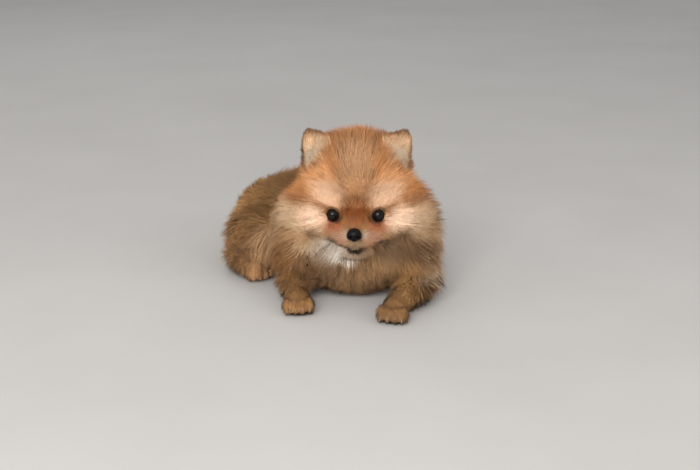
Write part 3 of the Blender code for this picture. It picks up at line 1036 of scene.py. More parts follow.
@dataclass
class Skin:
    """One skin over the whole body, inside the outline by the depth of the coat."""

    posture: Posture
    markings_and_shading: MarkingsAndShading
    voxel: float = 0.00125
    smoothing: int = 5
    floor_gap: float = 0.0006
    fissure_half_width: float = 3.95
    fissure_half_height: float = 4.15
    fissure_rise: float = 0.65
    fissure_slant: float = 0.10
    lid_reach: float = 12.0
    rim_steps: int = 72
    rim: float = 0.36
    lip: float = 0.75
    lid: float = 0.65
    lip_depth: float = 1.1
    groove_depth: float = 0.9
    ear_outline: tuple = ((-18, 8.5, -12.0), (-6, 8.5, -13.0), (4, 8.2, -13.0), (8, 7.8, -11.5),
                          (10.5, 7.2, -9.0), (12.5, 6.4, -5.5), (14.3, 5.2, -1.8), (15.4, 4.0, 0.8))
    paw_length: float = 32.0
    paw_width: float = 23.0
    paw_height: float = 19.0
    lips: tuple = ((-22, 30, -31), (-18, 36, -32), (-12, 43, -33.6), (-5, 49, -35.4), (5, 49, -35.4),
                   (12, 43, -33.6), (18, 36, -32), (22, 30, -31))

    def head_masses(self) -> Iterator[Mass]:
        """Skull, cheeks, muzzle and jaw."""
        skull = self.posture.frames[Part.SKULL]
        single = (
            ((0, -3, 6), (29, 30, 30)),
            ((0, 16, -3), (15, 11, 15)),
            ((0, 33, -28), (12.5, 17, 8)),
            ((0, 30, -37.5), (11.5, 18, 6)),
            ((0, 41, -38), (6.5, 8, 4.2)),
        )
        paired = (
            ((15, 14, -12), (13, 15, 13)),
            ((5.2, 43.5, -27.5), (6.4, 9.0, 6.2)),
            ((9, 32, -28), (8, 13, 7.5)),
            ((14, 26, -29), (8.5, 11, 7.5)),
            ((22, 4, -22), (16, 22, 17)),
            ((15, 20, -25), (12, 13, 12)),
        )
        for place, radii in single:
            yield Mass(skull, place, radii)
        for place, radii in paired:
            for side in SIDES:
                yield Mass(skull, (place[0] * side, place[1], place[2]), radii)
        yield from masses_along(skull, ((0, 20, -16), (0, 32, -21.5), (0, 46.5, -24)), (12, 8.6, 6.0), 9)

    def ear_masses(self, side: int, part: Part) -> Iterator[Mass]:
        """One ear as a thin cupped sheet.

        Args:
            side: 1 for the left ear, -1 for the right.
            part: the ear.

        Yields:
            The masses of the sheet, row by row.
        """
        own = self.posture.frames[part]
        heights, outers, inners = zip(*self.ear_outline)
        for up in np.linspace(heights[0], heights[-1], 19):
            outer, inner = np.interp(up, heights, outers), np.interp(up, heights, inners)
            columns = max(3, round((outer - inner) / 1.9))
            for column in range(columns):
                share = column / (columns - 1)
                cup = 3.2 * (2 * share - 1) ** 2 * smoothstep(19.0, -6.0, up) - 2.2
                yield Mass(own, ((inner + (outer - inner) * share) * side, cup, up), (1.7, 1.3, 1.7))

    def trunk_masses(self) -> Iterator[Mass]:
        """Neck, chest, barrel, rump and tail."""
        face, hips = self.posture.frames[Part.FACE], self.posture.frames[Part.HIPS]
        yield from masses_along(face, ((0, -34, 72), (4, -46, 52)), (24, 28), 4)
        for place, radii in (((5, -36, 36), (42, 30, 33)), ((4, -22, 22), (34, 22, 20)),
                             ((2, -62, 64), (30, 24, 21)), ((-40, -34, 55), (16, 18, 20)),
                             ((-42, -16, 44), (12, 14, 17)), ((36, -58, 57), (19, 19, 19)),
                             ((44, -22, 46), (12, 16, 19))):
            yield Mass(face, place, radii)
        for step in range(8):
            wide, high = self.posture.barrel(step / 7)
            yield Mass(self.posture.along_spine(step / 7), (0, 0, high + 1.5), (wide, 30, high))
        yield Mass(hips, (-1, -3, 30), (34, 31, 27))
        places = ((0, -32, 26), (0, -42, 33), (8, -34, 45), (18, -14, 55), (26, 8, 60), (29, 22, 61))
        yield from masses_along(hips, places, (8, 6, 6, 5, 4, 3), 5)

    def limb_masses(self) -> Iterator[Mass]:
        """The four legs and paws."""
        face, hips = self.posture.frames[Part.FACE], self.posture.frames[Part.HIPS]
        for places in (((41, -26, 34), (46.5, -4, 18), (42, 12, 14), (34, 25, 11), (30, 33, 9)),
                       ((-36, -42, 32), (-43, -22, 18), (-46, -6, 14), (-46, 8, 11), (-44.5, 15, 9))):
            yield from masses_along(face, places, (16, 13, 10, 8, 7), 5)
        for place, radii in (((34, 4, 27), (18, 24, 19)), ((39, 18, 20), (11, 12, 12)),
                             ((-35, -2, 27), (18, 24, 18)), ((-52, 13, 18), (12, 13, 12)),
                             ((-49, 19, 29), (12, 15, 13))):
            yield Mass(hips, place, radii)
        for part in SHANKS:
            yield Mass(self.posture.frames[part], (0, 0, -1), (10, 26, 9))
        long, wide, high = self.paw_length, self.paw_width, self.paw_height
        for part in (*FOREPAWS, *HINDPAWS):
            own = self.posture.frames[part]
            yield Mass(own, (0, -long * 0.10, -0.4), (wide * 0.40, long * 0.38, high * 0.42))
            for across, ahead in self.toes():
                yield Mass(own, (across, ahead, -high * 0.10), (wide * 0.145, long * 0.18, high * 0.33))
            if part in HINDPAWS:
                yield Mass(own, (0, -18, 0), (7, 17, 7))

    def toes(self) -> Iterator[tuple[float, float]]:
        """How far each toe of a paw is across and ahead of the paw's middle."""
        for toe in range(4):
            across = (toe - 1.5) * self.paw_width * 0.235
            yield across, self.paw_length * (0.33 - 0.05 * abs(toe - 1.5))

    def build(self) -> bpy.types.Object:
        """Builds the skin.

        Returns:
            The skin's object, with its unwrap and its colours, which include painted shade.
        """
        masses = [*self.head_masses(), *self.trunk_masses(), *self.limb_masses()]
        for side, part in zip(SIDES, EARS):
            masses += self.ear_masses(side, part)
        made = fused("skin", masses, self.voxel, self.smoothing)
        self.refine(made.data)
        self.lip_line = self.on_skin(made)
        points = self.with_mouth(self.with_lids(points_of(made.data)), normals_of(made.data))
        points[:, 2] = np.maximum(points[:, 2], self.floor_gap)
        faces = read(made.data.polygons, "vertices", 3, np.int32)
        for more, rims in self.rims():
            faces = np.concatenate((faces, rims + len(points)))
            points = np.concatenate((points, more))
        bpy.data.objects.remove(made)
        made = mesh_object("skin", points, faces)
        self.unwrap(made)
        self.paint(made.data)
        made.data.materials.append(SkinFinish().material())
        return made

    def on_skin(self, made: bpy.types.Object) -> Array:
        """The smooth line of the lips.

        Args:
            made: the skin, whose nearest places the line takes.

        Returns:
            The line in the skull's millimetres.
        """
        skull = self.posture.frames[Part.SKULL]
        corners = np.array(self.lips, float)
        where = np.linspace(0, len(corners) - 1, 49)
        line = np.stack([np.interp(where, range(len(corners)), corners[:, axis]) for axis in range(3)], 1)
        for _ in range(8):
            line[1:-1] = (line[:-2] + line[1:-1] * 2 + line[2:]) / 4
        tree = BVHTree.FromObject(made, bpy.context.evaluated_depsgraph_get())
        return skull.local(np.array([tree.find_nearest(Vector(point))[0] for point in skull.at(line)]))

    def rims(self) -> Iterator[tuple[Array, Array]]:
        """The smooth dark rims of the lids and the lips."""
        turn = np.linspace(0, 2 * math.pi, self.rim_steps, endpoint=False)
        radius = self.posture.eye_radius
        for side in SIDES:
            across = self.fissure_half_width * np.cos(turn)
            up = self.fissure_half_height * np.sin(turn) + self.fissure_slant * across + self.fissure_rise
            ahead = np.sqrt(np.maximum(radius**2 - across**2 - up**2, 0))
            way = unit(np.stack((across * side, ahead, up), 1))
            line = self.posture.gaze(side).at(way * (radius + 0.35))
            yield tube(line, np.full(self.rim_steps, self.rim * MM), True)
        share = np.linspace(-1, 1, len(self.lip_line))
        radii = self.lip * MM * (1 - 0.65 * np.abs(share) ** 3)
        yield tube(self.posture.frames[Part.SKULL].at(self.lip_line), radii, False)

    def refine(self, mesh: bpy.types.Mesh) -> None:
        """Divides the faces of the face once, and those round the eyes again.

        Args:
            mesh: the skin's mesh.
        """
        skull = self.posture.frames[Part.SKULL]
        shape = bmesh.new()
        shape.from_mesh(mesh)

        def divide(chosen: Callable[[Array], Array]) -> None:
            """Divides the faces whose middles are chosen.

            Args:
                chosen: says of each middle whether it is.
            """
            wanted = chosen(np.array([face.calc_center_median() for face in shape.faces]))
            edges = {edge for face, keep in zip(shape.faces, wanted) if keep for edge in face.edges}
            bmesh.ops.subdivide_edges(shape, edges=list(edges), cuts=1, use_grid_fill=True)
            bmesh.ops.triangulate(shape, faces=[face for face in shape.faces if len(face.verts) > 4])

        def on_face(middles: Array) -> Array:
            """Whether each place is on the front of the face."""
            across, ahead, up = skull.local(middles).T
            return (ahead > 20) & (np.abs(across) < 27) & (up < 2) & (up > -44)

        def by_eyes(middles: Array) -> Array:
            """Whether each place is near an eye."""
            away = [np.linalg.norm(middles - self.posture.eye(side), axis=1) for side in SIDES]
            return np.minimum(*away) < 0.0105

        divide(on_face)
        divide(by_eyes)
        bmesh.ops.triangulate(shape, faces=shape.faces)
        bmesh.ops.recalc_face_normals(shape, faces=shape.faces)
        shape.to_mesh(mesh)
        shape.free()

    def opening(self, points: Array, side: int) -> tuple[Array, Array, Array]:
        """Where points lie on one eye.

        Args:
            points: places in metres.
            side: 1 for the left eye, -1 for the right.

        Returns:
            How far out each point is, where 1 is the edge of the lids; its distance from the eye's middle in
            millimetres; and its direction from there.
        """
        own = self.posture.gaze(side).local(points)
        away = np.linalg.norm(own, axis=1)
        way = own / np.maximum(away, 1e-6)[:, None]
        across, up = way[:, 0] * side * self.posture.eye_radius, way[:, 2] * self.posture.eye_radius
        slant = up - self.fissure_slant * across - self.fissure_rise
        edge = np.sqrt((across / self.fissure_half_width) ** 2 + (slant / self.fissure_half_height) ** 2)
        inner = smoothstep(-2.8, -4.6, across) * 0.10
        return np.where(way[:, 1] > 0, edge - inner, 9.0), away, way

    def round_lids(self, points: Array, side: int, outer: float, inner: float) -> Array:
        """How near points are to the lids of one eye.

        Args:
            points: places in metres.
            side: 1 for the left eye, -1 for the right.
            outer: how far out the share starts, where 1 is the edge of the lids.
            inner: how far out it is full.

        Returns:
            A share for each point.
        """
        edge, away, _ = self.opening(points, side)
        return smoothstep(outer, inner, edge) * (away < self.lid_reach)

    def from_lips(self, points: Array) -> Array:
        """How far points are from the line of the lips, in millimetres."""
        return line_distance(self.posture.frames[Part.SKULL].local(points), self.lip_line)

    def with_lids(self, points: Array) -> Array:
        """Shapes both lids round the eyeballs.

        Args:
            points: the skin's points.

        Returns:
            The points, moved in and out along the lines from the eyes' middles.
        """
        moved = points.copy()
        radius = self.posture.eye_radius
        inside, lid = radius - 1.3, radius + self.lid
        for side in SIDES:
            gaze = self.posture.gaze(side)
            edge, away, way = self.opening(moved, side)
            near = (edge < 2.2) & (away < self.lid_reach)
            target = inside + (lid - inside) * smoothstep(0.93, 1.06, edge)
            ease = smoothstep(1.15, 2.1, edge)
            wanted = target * (1 - ease) + np.maximum(away, radius + 0.5) * ease
            moved[near] = gaze.at(way * wanted[:, None])[near]
            buried = (away < radius + 0.5) & (edge >= 2.2) & (way[:, 1] > -0.2)
            moved[buried] = gaze.at(way * (radius + 0.6))[buried]
        return moved

    def with_mouth(self, points: Array, normals: Array) -> Array:
        """Presses the line of the lips and the groove below the nose into the skin.

        Args:
            points: the skin's points.
            normals: its outward directions there.

        Returns:
            The pressed points.
        """
        own = self.posture.frames[Part.SKULL].local(points)
        groove = line_distance(own, np.array(((0, 56, -27), (0, 51, -36)), float))
        depth = self.lip_depth * smoothstep(1.8, 0.4, self.from_lips(points))
        depth = depth + self.groove_depth * smoothstep(1.2, 0.1, groove)
        return points - normals * depth[:, None] * MM

    def unwrap(self, made: bpy.types.Object) -> None:
        """Unwraps the skin's own shape.

        Args:
            made: the skin.
        """
        made.data.uv_layers.new(name=BAKE_MAP)
        bpy.context.view_layer.objects.active = made
        for other in bpy.context.selected_objects:
            other.select_set(False)
        made.select_set(True)
        bpy.ops.object.mode_set(mode="EDIT")
        bpy.ops.mesh.select_all(action="SELECT")
        bpy.ops.uv.smart_project(angle_limit=math.radians(66), island_margin=0.002)
        bpy.ops.object.mode_set(mode="OBJECT")
        made.select_set(False)

    def paint(self, mesh: bpy.types.Mesh) -> None:
        """Carries the coat's colours on the skin, darkened as painted shade under the coat, with bare dark
        lids and lips.

        Args:
            mesh: the skin's mesh.
        """
        points = points_of(mesh)
        # painted shade: the skin under the coat takes four fifths of the coat's colour
        colours = self.markings_and_shading.at(points) * 0.8
        for side in SIDES:
            colours = blend(colours, Tone.BROWN.light(), self.round_lids(points, side, 1.4, 1.2) * 0.8)
            colours = blend(colours, Tone.BLACK.light(), self.round_lids(points, side, 1.15, 1.07))
        colours = blend(colours, Tone.BLACK.light(), smoothstep(2.4, 1.2, self.from_lips(points)))
        pads = smoothstep(2.2, 1.2, points[:, 2] / MM) * self.near_paws(points)
        colours = blend(colours, Tone.DARK.light(), pads)
        for part in EARS:
            own = self.posture.frames[part].local(points)
            inside = smoothstep(1.2, 0.6, np.linalg.norm((own - (0, 2, -4)) / (9, 5, 14), axis=1))
            colours = blend(colours, Tone.EAR_SKIN.light(), inside * 0.8)
        carry(mesh, MARKINGS_AND_SHADING, colours)

    def near_paws(self, points: Array) -> Array:
        """1 at points on a paw, and 0 elsewhere.

        Args:
            points: places in metres.

        Returns:
            A number for each point.
        """
        found = np.zeros(len(points))
        for part in (*FOREPAWS, *HINDPAWS):
            own = self.posture.frames[part].local(points)
            found = np.maximum(found, np.linalg.norm(own * (1 / 13, 1 / 18, 0), axis=1) < 1)
        return found


# --- The coat -----------------------------------------------------------------------------------------------


class Zone(Enum):
    """The regions of the coat; each becomes one piece."""

    FACE = "coat_face"
    CROWN = "coat_crown"
    CHEEKS = "coat_cheeks"
    EARS = "coat_ears"
    THROAT = "coat_throat"
    RUFF = "coat_ruff"
    BACK = "coat_back"
    FLANKS = "coat_flanks"
    RUMP = "coat_rump"
    TAIL = "coat_tail"
    LEGS = "coat_legs"
    PAWS = "coat_paws"


@dataclass(frozen=True)
class Growth:
    """How thickly and how loosely one zone's hair grows, in millimetres where it is a length."""

    strands: int
    width: float
    under: float = 0.35
    clump: float = 0.6
    group: int = 9
    wave: float = 0.8
    stray: float = 0.10
    sag: float = 0.15
    scatter: float = 0.16
    ticked: float = 0.10
    lift: float = 0.12
    lock: float = 0.35
    swirl: float = 0.30
    # root: how pale each hair's painted root shade starts, from 0 (dark) to 1
    root: float = 0.0
    contrast: float = 0.10
    shortest: float = 0.0


@dataclass(frozen=True)
class Guide:
    """One place of the coat: which way the hair lies there and how long it is."""

    zone: Zone
    frame: Frame
    place: Place
    lie: Place
    length: float
    reach: float


@dataclass
class Coat:
    """The whole coat, grown from the skin out to the outline of the solids."""

    posture: Posture
    markings_and_shading: MarkingsAndShading
    skin: Skin
    surface: bpy.types.Object
    envelope_voxel: float = 0.0025
    patch: float = 0.003
    deepest: float = 0.05
    farthest: float = 0.06
    nose_place: Place = (0, 55.5, -21.2)
    nose_radii: Place = (6.3, 5.5, 5.4)
    steepest: float = 0.97
    flattest: float = 0.10
    no_room: float = 0.003
    stray_length: float = 1.16
    under_length: float = 0.66
    under_width: float = 1.9
    under_shade: float = 0.88
    by_lids_lift: float = 0.8
    bleed: float = 0.0011
    overhang: float = 0.0025
    growths: dict[Zone, Growth] = field(default_factory=lambda: {
        Zone.FACE: Growth(17000, 0.26, under=0.0, clump=0.14, group=5, wave=0.08, sag=0.0, scatter=0.12,
                          stray=0.04, lift=0.30, lock=0.0, swirl=0.10, root=0.8, ticked=0.03,
                          contrast=0.04, shortest=3.0),
        Zone.CROWN: Growth(14000, 0.40, under=0.5, clump=0.06, group=7, wave=0.3, sag=0.0, scatter=0.12,
                           lock=0.03, swirl=0.12, root=0.9, ticked=0.03, contrast=0.05),
        Zone.CHEEKS: Growth(12500, 0.37, clump=0.34, group=9, wave=0.6, sag=0.04, scatter=0.12, lock=0.25,
                            swirl=0.14, root=0.35, ticked=0.04, contrast=0.07),
        Zone.EARS: Growth(9500, 0.26, under=0.0, clump=0.5, group=7, wave=0.5, sag=0.0, scatter=0.3,
                          lift=0.36, lock=0.15, swirl=0.4, stray=0.25, root=0.5, contrast=0.14,
                          shortest=3.2),
        Zone.THROAT: Growth(8500, 0.40, clump=0.55, group=11, wave=1.1, sag=0.10, lock=0.5, contrast=0.16),
        Zone.RUFF: Growth(12500, 0.42, clump=0.55, group=11, wave=1.2, sag=0.08, stray=0.14, lock=0.5,
                          contrast=0.18),
        Zone.BACK: Growth(8000, 0.42, clump=0.5, group=10, wave=1.3, sag=0.06, stray=0.14, lock=0.5,
                          contrast=0.16),
        Zone.FLANKS: Growth(12500, 0.42, clump=0.6, group=11, wave=2.0, sag=0.08, stray=0.16, lock=0.5,
                            swirl=0.5, contrast=0.2),
        Zone.RUMP: Growth(8500, 0.42, clump=0.6, group=11, wave=2.0, sag=0.08, stray=0.16, lock=0.5,
                          swirl=0.5, contrast=0.2),
        Zone.TAIL: Growth(4200, 0.42, clump=0.5, group=10, wave=1.3, sag=0.06, contrast=0.12),
        Zone.LEGS: Growth(8500, 0.38, clump=0.5, group=9, wave=1.0, contrast=0.16, shortest=5.0),
        Zone.PAWS: Growth(8500, 0.34, under=0.0, clump=0.5, group=8, wave=0.3, sag=0.0, scatter=0.3,
                          lift=0.42, lock=0.0, root=0.1, contrast=0.2, shortest=4.5),
    })

    # -- which way the coat lies --

    def guides(self) -> list[Guide]:
        """Every guide, with the paired ones on both sides."""
        return [*self.head_guides(), *self.ruff_guides(), *self.trunk_guides(), *self.limb_guides()]

    def placed(self, part: Part | Frame, rows: Iterable[tuple]) -> Iterator[Guide]:
        """Guides of one part.

        Args:
            part: the part or the frame that the rows are given in.
            rows: zone, whether it is paired, place, lie, length and reach.

        Yields:
            A guide for each row, or two where it is paired.
        """
        own = part if isinstance(part, Frame) else self.posture.frames[part]
        for zone, pair, place, lie, length, reach in rows:
            for side in SIDES if pair else SIDES[:1]:
                across, toward = place[0] * side, lie[0] * side
                yield Guide(zone, own, (across, *place[1:]), (toward, *lie[1:]), length, reach)

    def head_guides(self) -> Iterator[Guide]:
        """Face, crown, cheeks and ears."""
        face, crown, cheeks, ears = Zone.FACE, Zone.CROWN, Zone.CHEEKS, Zone.EARS
        yield from self.placed(Part.SKULL, (
            (face, False, (0, 50, -18), (0, -0.9, 0.35), 3.0, 6),
            (face, False, (0, 40, -13), (0, -0.85, 0.5), 4.5, 7),
            (face, False, (0, 31, -8), (0, -0.5, 0.85), 7, 7),
            (face, False, (0, 26, 1), (0, -0.3, 1), 8, 7),
            (face, True, (8, 29, -9), (0.3, -0.3, 0.9), 5, 6),
            (face, True, (16, 25, -1), (0.45, -0.25, 0.9), 9, 8),
            (face, True, (25, 19, -3), (0.8, -0.35, 0.5), 12, 8),
            (face, True, (26, 20, -14), (0.95, -0.4, 0.05), 10, 7),
            (face, True, (18, 26, -24), (0.85, -0.45, -0.25), 9, 6),
            (face, True, (9, 33, -19), (0.7, -0.65, -0.1), 5, 5),
            (face, True, (9, 47, -27), (0.85, -0.5, -0.15), 4.5, 6),
            (face, True, (9, 44, -33), (0.75, -0.5, -0.45), 5, 6),
            (face, True, (15, 34, -28), (0.9, -0.4, -0.2), 9, 7),
            (face, True, (4, 52, -31), (0.75, -0.4, -0.45), 2.5, 4),
            (face, False, (0, 48, -40), (0, -0.2, -1), 5, 6),
            (face, True, (11, 36, -40), (0.7, -0.4, -0.65), 8, 8),
            (crown, False, (0, 27, 8), (0, -0.3, 1), 9, 9),
            (crown, True, (13, 23, 12), (0.35, -0.3, 0.9), 11, 10),
            (crown, False, (0, 22, 22), (0, -0.45, 0.9), 15, 12),
            (crown, True, (25, 12, 10), (0.7, -0.3, 0.65), 19, 11),
            (crown, False, (0, 6, 35), (0, -0.5, 0.85), 19, 13),
            (crown, True, (16, 4, 30), (0.35, -0.4, 0.85), 19, 11),
            (crown, True, (27, 2, 20), (0.65, -0.2, 0.75), 18, 9),
            (crown, False, (0, -12, 34), (0, -0.97, 0.25), 31, 13),
            (crown, True, (16, -12, 30), (0.25, -0.95, 0.1), 31, 11),
            (crown, False, (0, -30, 14), (0, -0.8, -0.6), 32, 15),
            (crown, True, (20, -22, 14), (0.35, -0.8, -0.5), 32, 15),
            (crown, True, (30, -10, 10), (0.6, -0.75, -0.3), 30, 13),
            (crown, True, (30, -3, 24), (0.35, -0.9, 0.05), 27, 10),
            (crown, True, (30, 4, 2), (0.95, -0.25, 0.2), 26, 10),
            (cheeks, True, (24, 18, -20), (0.95, -0.25, -0.15), 14, 9),
            (cheeks, True, (21, 25, -33), (0.8, 0.0, -0.6), 16, 7),
            (cheeks, True, (34, 9, -14), (0.95, -0.3, -0.05), 25, 11),
            (cheeks, True, (34, 8, -26), (0.9, -0.25, -0.35), 25, 11),
            (cheeks, True, (28, 12, -34), (0.75, -0.15, -0.6), 24, 10),
            (cheeks, True, (34, -10, -16), (0.7, -0.6, -0.45), 28, 14),
            (cheeks, True, (17, 17, -42), (0.5, -0.1, -0.85), 20, 10),
            (cheeks, False, (0, 20, -46), (0, -0.1, -1), 16, 10),
        ))
        for part in EARS:
            yield from self.placed(part, (
                (ears, False, (0, -4, -14), (0, -0.2, 1), 10, 7),
                (ears, False, (0, -3, 0), (0, -0.1, 1), 8, 7),
                (ears, False, (2, -2, 12), (0.1, 0, 1), 6, 6),
                (ears, False, (2, 1, 16), (0, 0.1, 1), 5, 6),
                (ears, True, (9, 1, -6), (0.5, 0.1, 0.85), 10, 6),
                (ears, True, (8, 1, 6), (0.5, 0.1, 0.85), 7, 6),
                (ears, False, (0, 1, -4), (0, 0.4, 0.9), 12, 6),
            ))

    def ruff_guides(self) -> Iterator[Guide]:
        """Throat, breast, ruff and nape."""
        throat, ruff = Zone.THROAT, Zone.RUFF
        yield from self.placed(Part.FACE, (
            (throat, False, (0, -14, 52), (0, 0.35, -0.95), 24, 14),
            (throat, False, (0, -4, 34), (0, 0.45, -0.9), 28, 14),
            (throat, False, (4, -2, 16), (0.05, 0.6, -0.8), 22, 14),
            (throat, True, (24, -12, 26), (0.5, 0.35, -0.8), 26, 13),
            (ruff, True, (26, -36, 78), (0.9, -0.1, -0.25), 36, 14),
            (ruff, True, (40, -34, 52), (0.9, 0, -0.4), 34, 15),
            (ruff, True, (44, -34, 30), (0.85, 0.05, -0.55), 28, 14),
            (ruff, True, (28, -20, 48), (0.75, 0.35, -0.55), 28, 12),
            (ruff, False, (2, -66, 74), (0, -0.85, 0.1), 30, 16),
            (ruff, True, (24, -62, 64), (0.7, -0.65, -0.2), 32, 14),
            (ruff, False, (4, -80, 62), (0, -0.95, -0.1), 26, 16),
        ))

    def trunk_guides(self) -> Iterator[Guide]:
        """Back, flanks, belly, rump and tail."""
        back, flanks, rump, tail = Zone.BACK, Zone.FLANKS, Zone.RUMP, Zone.TAIL
        for share in (0.15, 0.5, 0.85):
            wide, high = self.posture.barrel(share)
            yield from self.placed(self.posture.along_spine(share), (
                (back, False, (0, 0, high * 2), (0, -0.95, 0.15), 21, 14),
                (flanks, True, (wide * 0.8, 0, high * 1.6), (0.5, -0.75, -0.4), 22, 13),
                (flanks, True, (wide, 0, high), (0.35, -0.6, -0.7), 22, 14),
                (flanks, True, (wide * 0.85, 0, high * 0.4), (0.45, -0.35, -0.8), 19, 12),
                (flanks, False, (0, 0, 2), (0, -1, 0), 7, 14),
            ))
        yield from self.placed(Part.HIPS, (
            (rump, False, (0, -14, 56), (0, -0.9, 0.1), 22, 14),
            (rump, True, (30, -12, 36), (0.6, -0.55, -0.55), 21, 14),
            (rump, False, (0, -33, 22), (0, -0.7, -0.7), 22, 14),
            (rump, True, (20, -28, 16), (0.45, -0.6, -0.65), 22, 13),
            (tail, False, (0, -40, 32), (0, -0.3, 0.9), 20, 8),
            (tail, False, (8, -34, 45), (0.4, 0.3, 0.85), 22, 9),
            (tail, False, (18, -14, 55), (0.4, 0.8, 0.45), 24, 9),
            (tail, False, (26, 8, 60), (0.3, 0.95, 0.1), 24, 9),
            (tail, False, (29, 22, 61), (0.2, 0.95, 0.0), 22, 9),
        ))

    def limb_guides(self) -> Iterator[Guide]:
        """Legs and paws."""
        legs, paws = Zone.LEGS, Zone.PAWS
        yield from self.placed(Part.FACE, (
            (legs, False, (52, -14, 24), (0.2, 0.6, -0.75), 18, 11),
            (legs, False, (50, 4, 15), (0.1, 0.85, -0.45), 13, 9),
            (legs, False, (42, 16, 14), (-0.5, 0.8, -0.3), 14, 8),
            (legs, False, (36, 24, 12), (-0.7, 0.65, -0.2), 11, 7),
            (legs, False, (-48, -30, 24), (-0.2, 0.5, -0.8), 18, 11),
            (legs, False, (-50, -10, 15), (-0.15, 0.85, -0.45), 13, 9),
            (legs, False, (-48, 4, 13), (0.05, 0.95, -0.3), 14, 8),
            (legs, False, (-46, 11, 11), (0.1, 0.95, -0.25), 11, 7),
        ))
        yield from self.placed(Part.HIPS, (
            (legs, False, (46, 6, 36), (0.5, 0.1, -0.85), 18, 12),
            (legs, False, (50, 10, 18), (0.35, 0.25, -0.9), 15, 11),
            (legs, False, (-46, 4, 34), (-0.5, 0.1, -0.85), 18, 12),
            (legs, False, (-60, 14, 18), (-0.4, 0.3, -0.85), 15, 11),
            (legs, False, (-63, 25, 20), (-0.3, 0.5, -0.8), 16, 9),
        ))
        for part in SHANKS:
            yield from self.placed(part, (
                (legs, False, (0, -20, 6), (0, -0.5, -0.8), 13, 9),
                (legs, False, (0, 4, 7), (0, 0.3, -0.9), 12, 9),
            ))
        for part in (*FOREPAWS, *HINDPAWS):
            yield from self.placed(part, (
                (paws, False, (0, -4, 8), (0, 0.95, -0.1), 8, 8),
                (paws, False, (0, 10, 5), (0, 0.9, -0.3), 6, 7),
                (paws, True, (8, -2, 0), (0.3, 0.8, -0.5), 7, 7),
                (paws, False, (0, -14, 2), (0, 0.6, -0.7), 9, 7),
            ))
        for part in HINDPAWS:
            yield from self.placed(part, ((paws, False, (0, -22, 4), (0, 0.7, -0.6), 7, 9),))

    # -- growing --

    def envelope(self) -> tuple[BVHTree, Array]:
        """The outline of all the solids as one closed surface, with the outward direction at each face."""
        shape = bmesh.new()
        for name, node in frame["nodes"].items():
            if not name.startswith("eye"):
                shape.from_mesh(node.data)
        bmesh.ops.remove_doubles(shape, verts=shape.verts, dist=1e-6)
        whole = remeshed(shape, "outline", self.envelope_voxel)
        whole.data.calc_loop_triangles()
        corners = read(whole.data.loop_triangles, "vertices", 3, np.int32)
        ways = unit(normals_of(whole.data)[corners].sum(1))
        tree = BVHTree.FromPolygons(points_of(whole.data).tolist(), corners.tolist())
        bpy.data.objects.remove(whole)
        return tree, ways

    def build(self) -> list[bpy.types.Object]:
        """Grows every zone.

        Returns:
            One object for each zone.
        """
        self.outline, self.outward = self.envelope()
        mesh = self.surface.data
        mesh.calc_loop_triangles()
        self.corners = read(mesh.loop_triangles, "vertices", 3, np.int32)
        loops = read(mesh.loop_triangles, "loops", 3, np.int32)
        self.maps = read(mesh.uv_layers[BAKE_MAP].data, "uv", 2)[loops]
        self.points, self.normals = points_of(mesh), normals_of(mesh)
        guides, zones = self.guides(), list(Zone)
        self.guide_places = np.array([guide.frame.at(guide.place) for guide in guides])
        self.guide_lies = np.array([guide.frame.way(guide.lie) for guide in guides])
        self.guide_lengths = np.array([guide.length for guide in guides])
        self.guide_reaches = np.array([guide.reach for guide in guides]) * MM
        guide_zones = np.array([zones.index(guide.zone) for guide in guides])
        owner = np.empty(len(self.corners), int)
        for rows, away in self.from_guides(self.points[self.corners].mean(1)):
            owner[rows] = guide_zones[away.argmin(1)]
        material = CoatFinish().material()
        made = []
        for index, zone in enumerate(zones):
            made.append(self.grow(zone, np.nonzero(owner == index)[0], index))
            made[-1].data.materials.append(material)
        return made

    def from_guides(self, points: Array) -> Iterator[tuple[slice, Array]]:
        """How far points are from each guide.

        Args:
            points: places in metres.

        Yields:
            Some rows at a time, with their distances as shares of the guides' reaches.
        """
        for start in range(0, len(points), BATCH):
            rows = slice(start, start + BATCH)
            yield rows, np.linalg.norm(points[rows, None] - self.guide_places, axis=2) / self.guide_reaches

    def lie(self, roots: Array) -> tuple[Array, Array]:
        """The lie and the natural length of the hair.

        Args:
            roots: where it grows, in metres.

        Returns:
            A direction and a length in millimetres for each root.
        """
        lies, lengths = np.empty_like(roots), np.empty(len(roots))
        for rows, away in self.from_guides(roots):
            near = np.exp(-0.5 * away**2) + 1e-4 / (away**2 + 1)
            lies[rows] = unit(near @ self.guide_lies)
            lengths[rows] = near @ self.guide_lengths / near.sum(1)
        return lies, lengths

    def roots(self, triangles: Array, wanted: int, draw: np.random.Generator) -> tuple[Array, Array, Array]:
        """Places on the skin, spread evenly over some triangles.

        Args:
            triangles: the numbers of the skin's triangles.
            wanted: how many roots to draw.
            draw: the random source.

        Returns:
            Places, outward directions and places on the unwrap.
        """
        places = self.points[self.corners[triangles]]
        area = np.linalg.norm(np.cross(places[:, 1] - places[:, 0], places[:, 2] - places[:, 0]), axis=1)
        steps = (np.arange(wanted) + draw.uniform(0, 1, wanted)) / wanted
        chosen = np.searchsorted(np.cumsum(area) / area.sum(), steps).clip(0, len(triangles) - 1)
        first, second = draw.uniform(0, 1, (2, wanted))
        over = first + second > 1
        first[over], second[over] = 1 - first[over], 1 - second[over]
        shares = np.stack((1 - first - second, first, second), 1)[..., None]
        roots = (places[chosen] * shares).sum(1)
        normals = unit((self.normals[self.corners[triangles[chosen]]] * shares).sum(1))
        maps = (self.maps[triangles[chosen]] * shares).sum(1)
        return roots, normals, maps

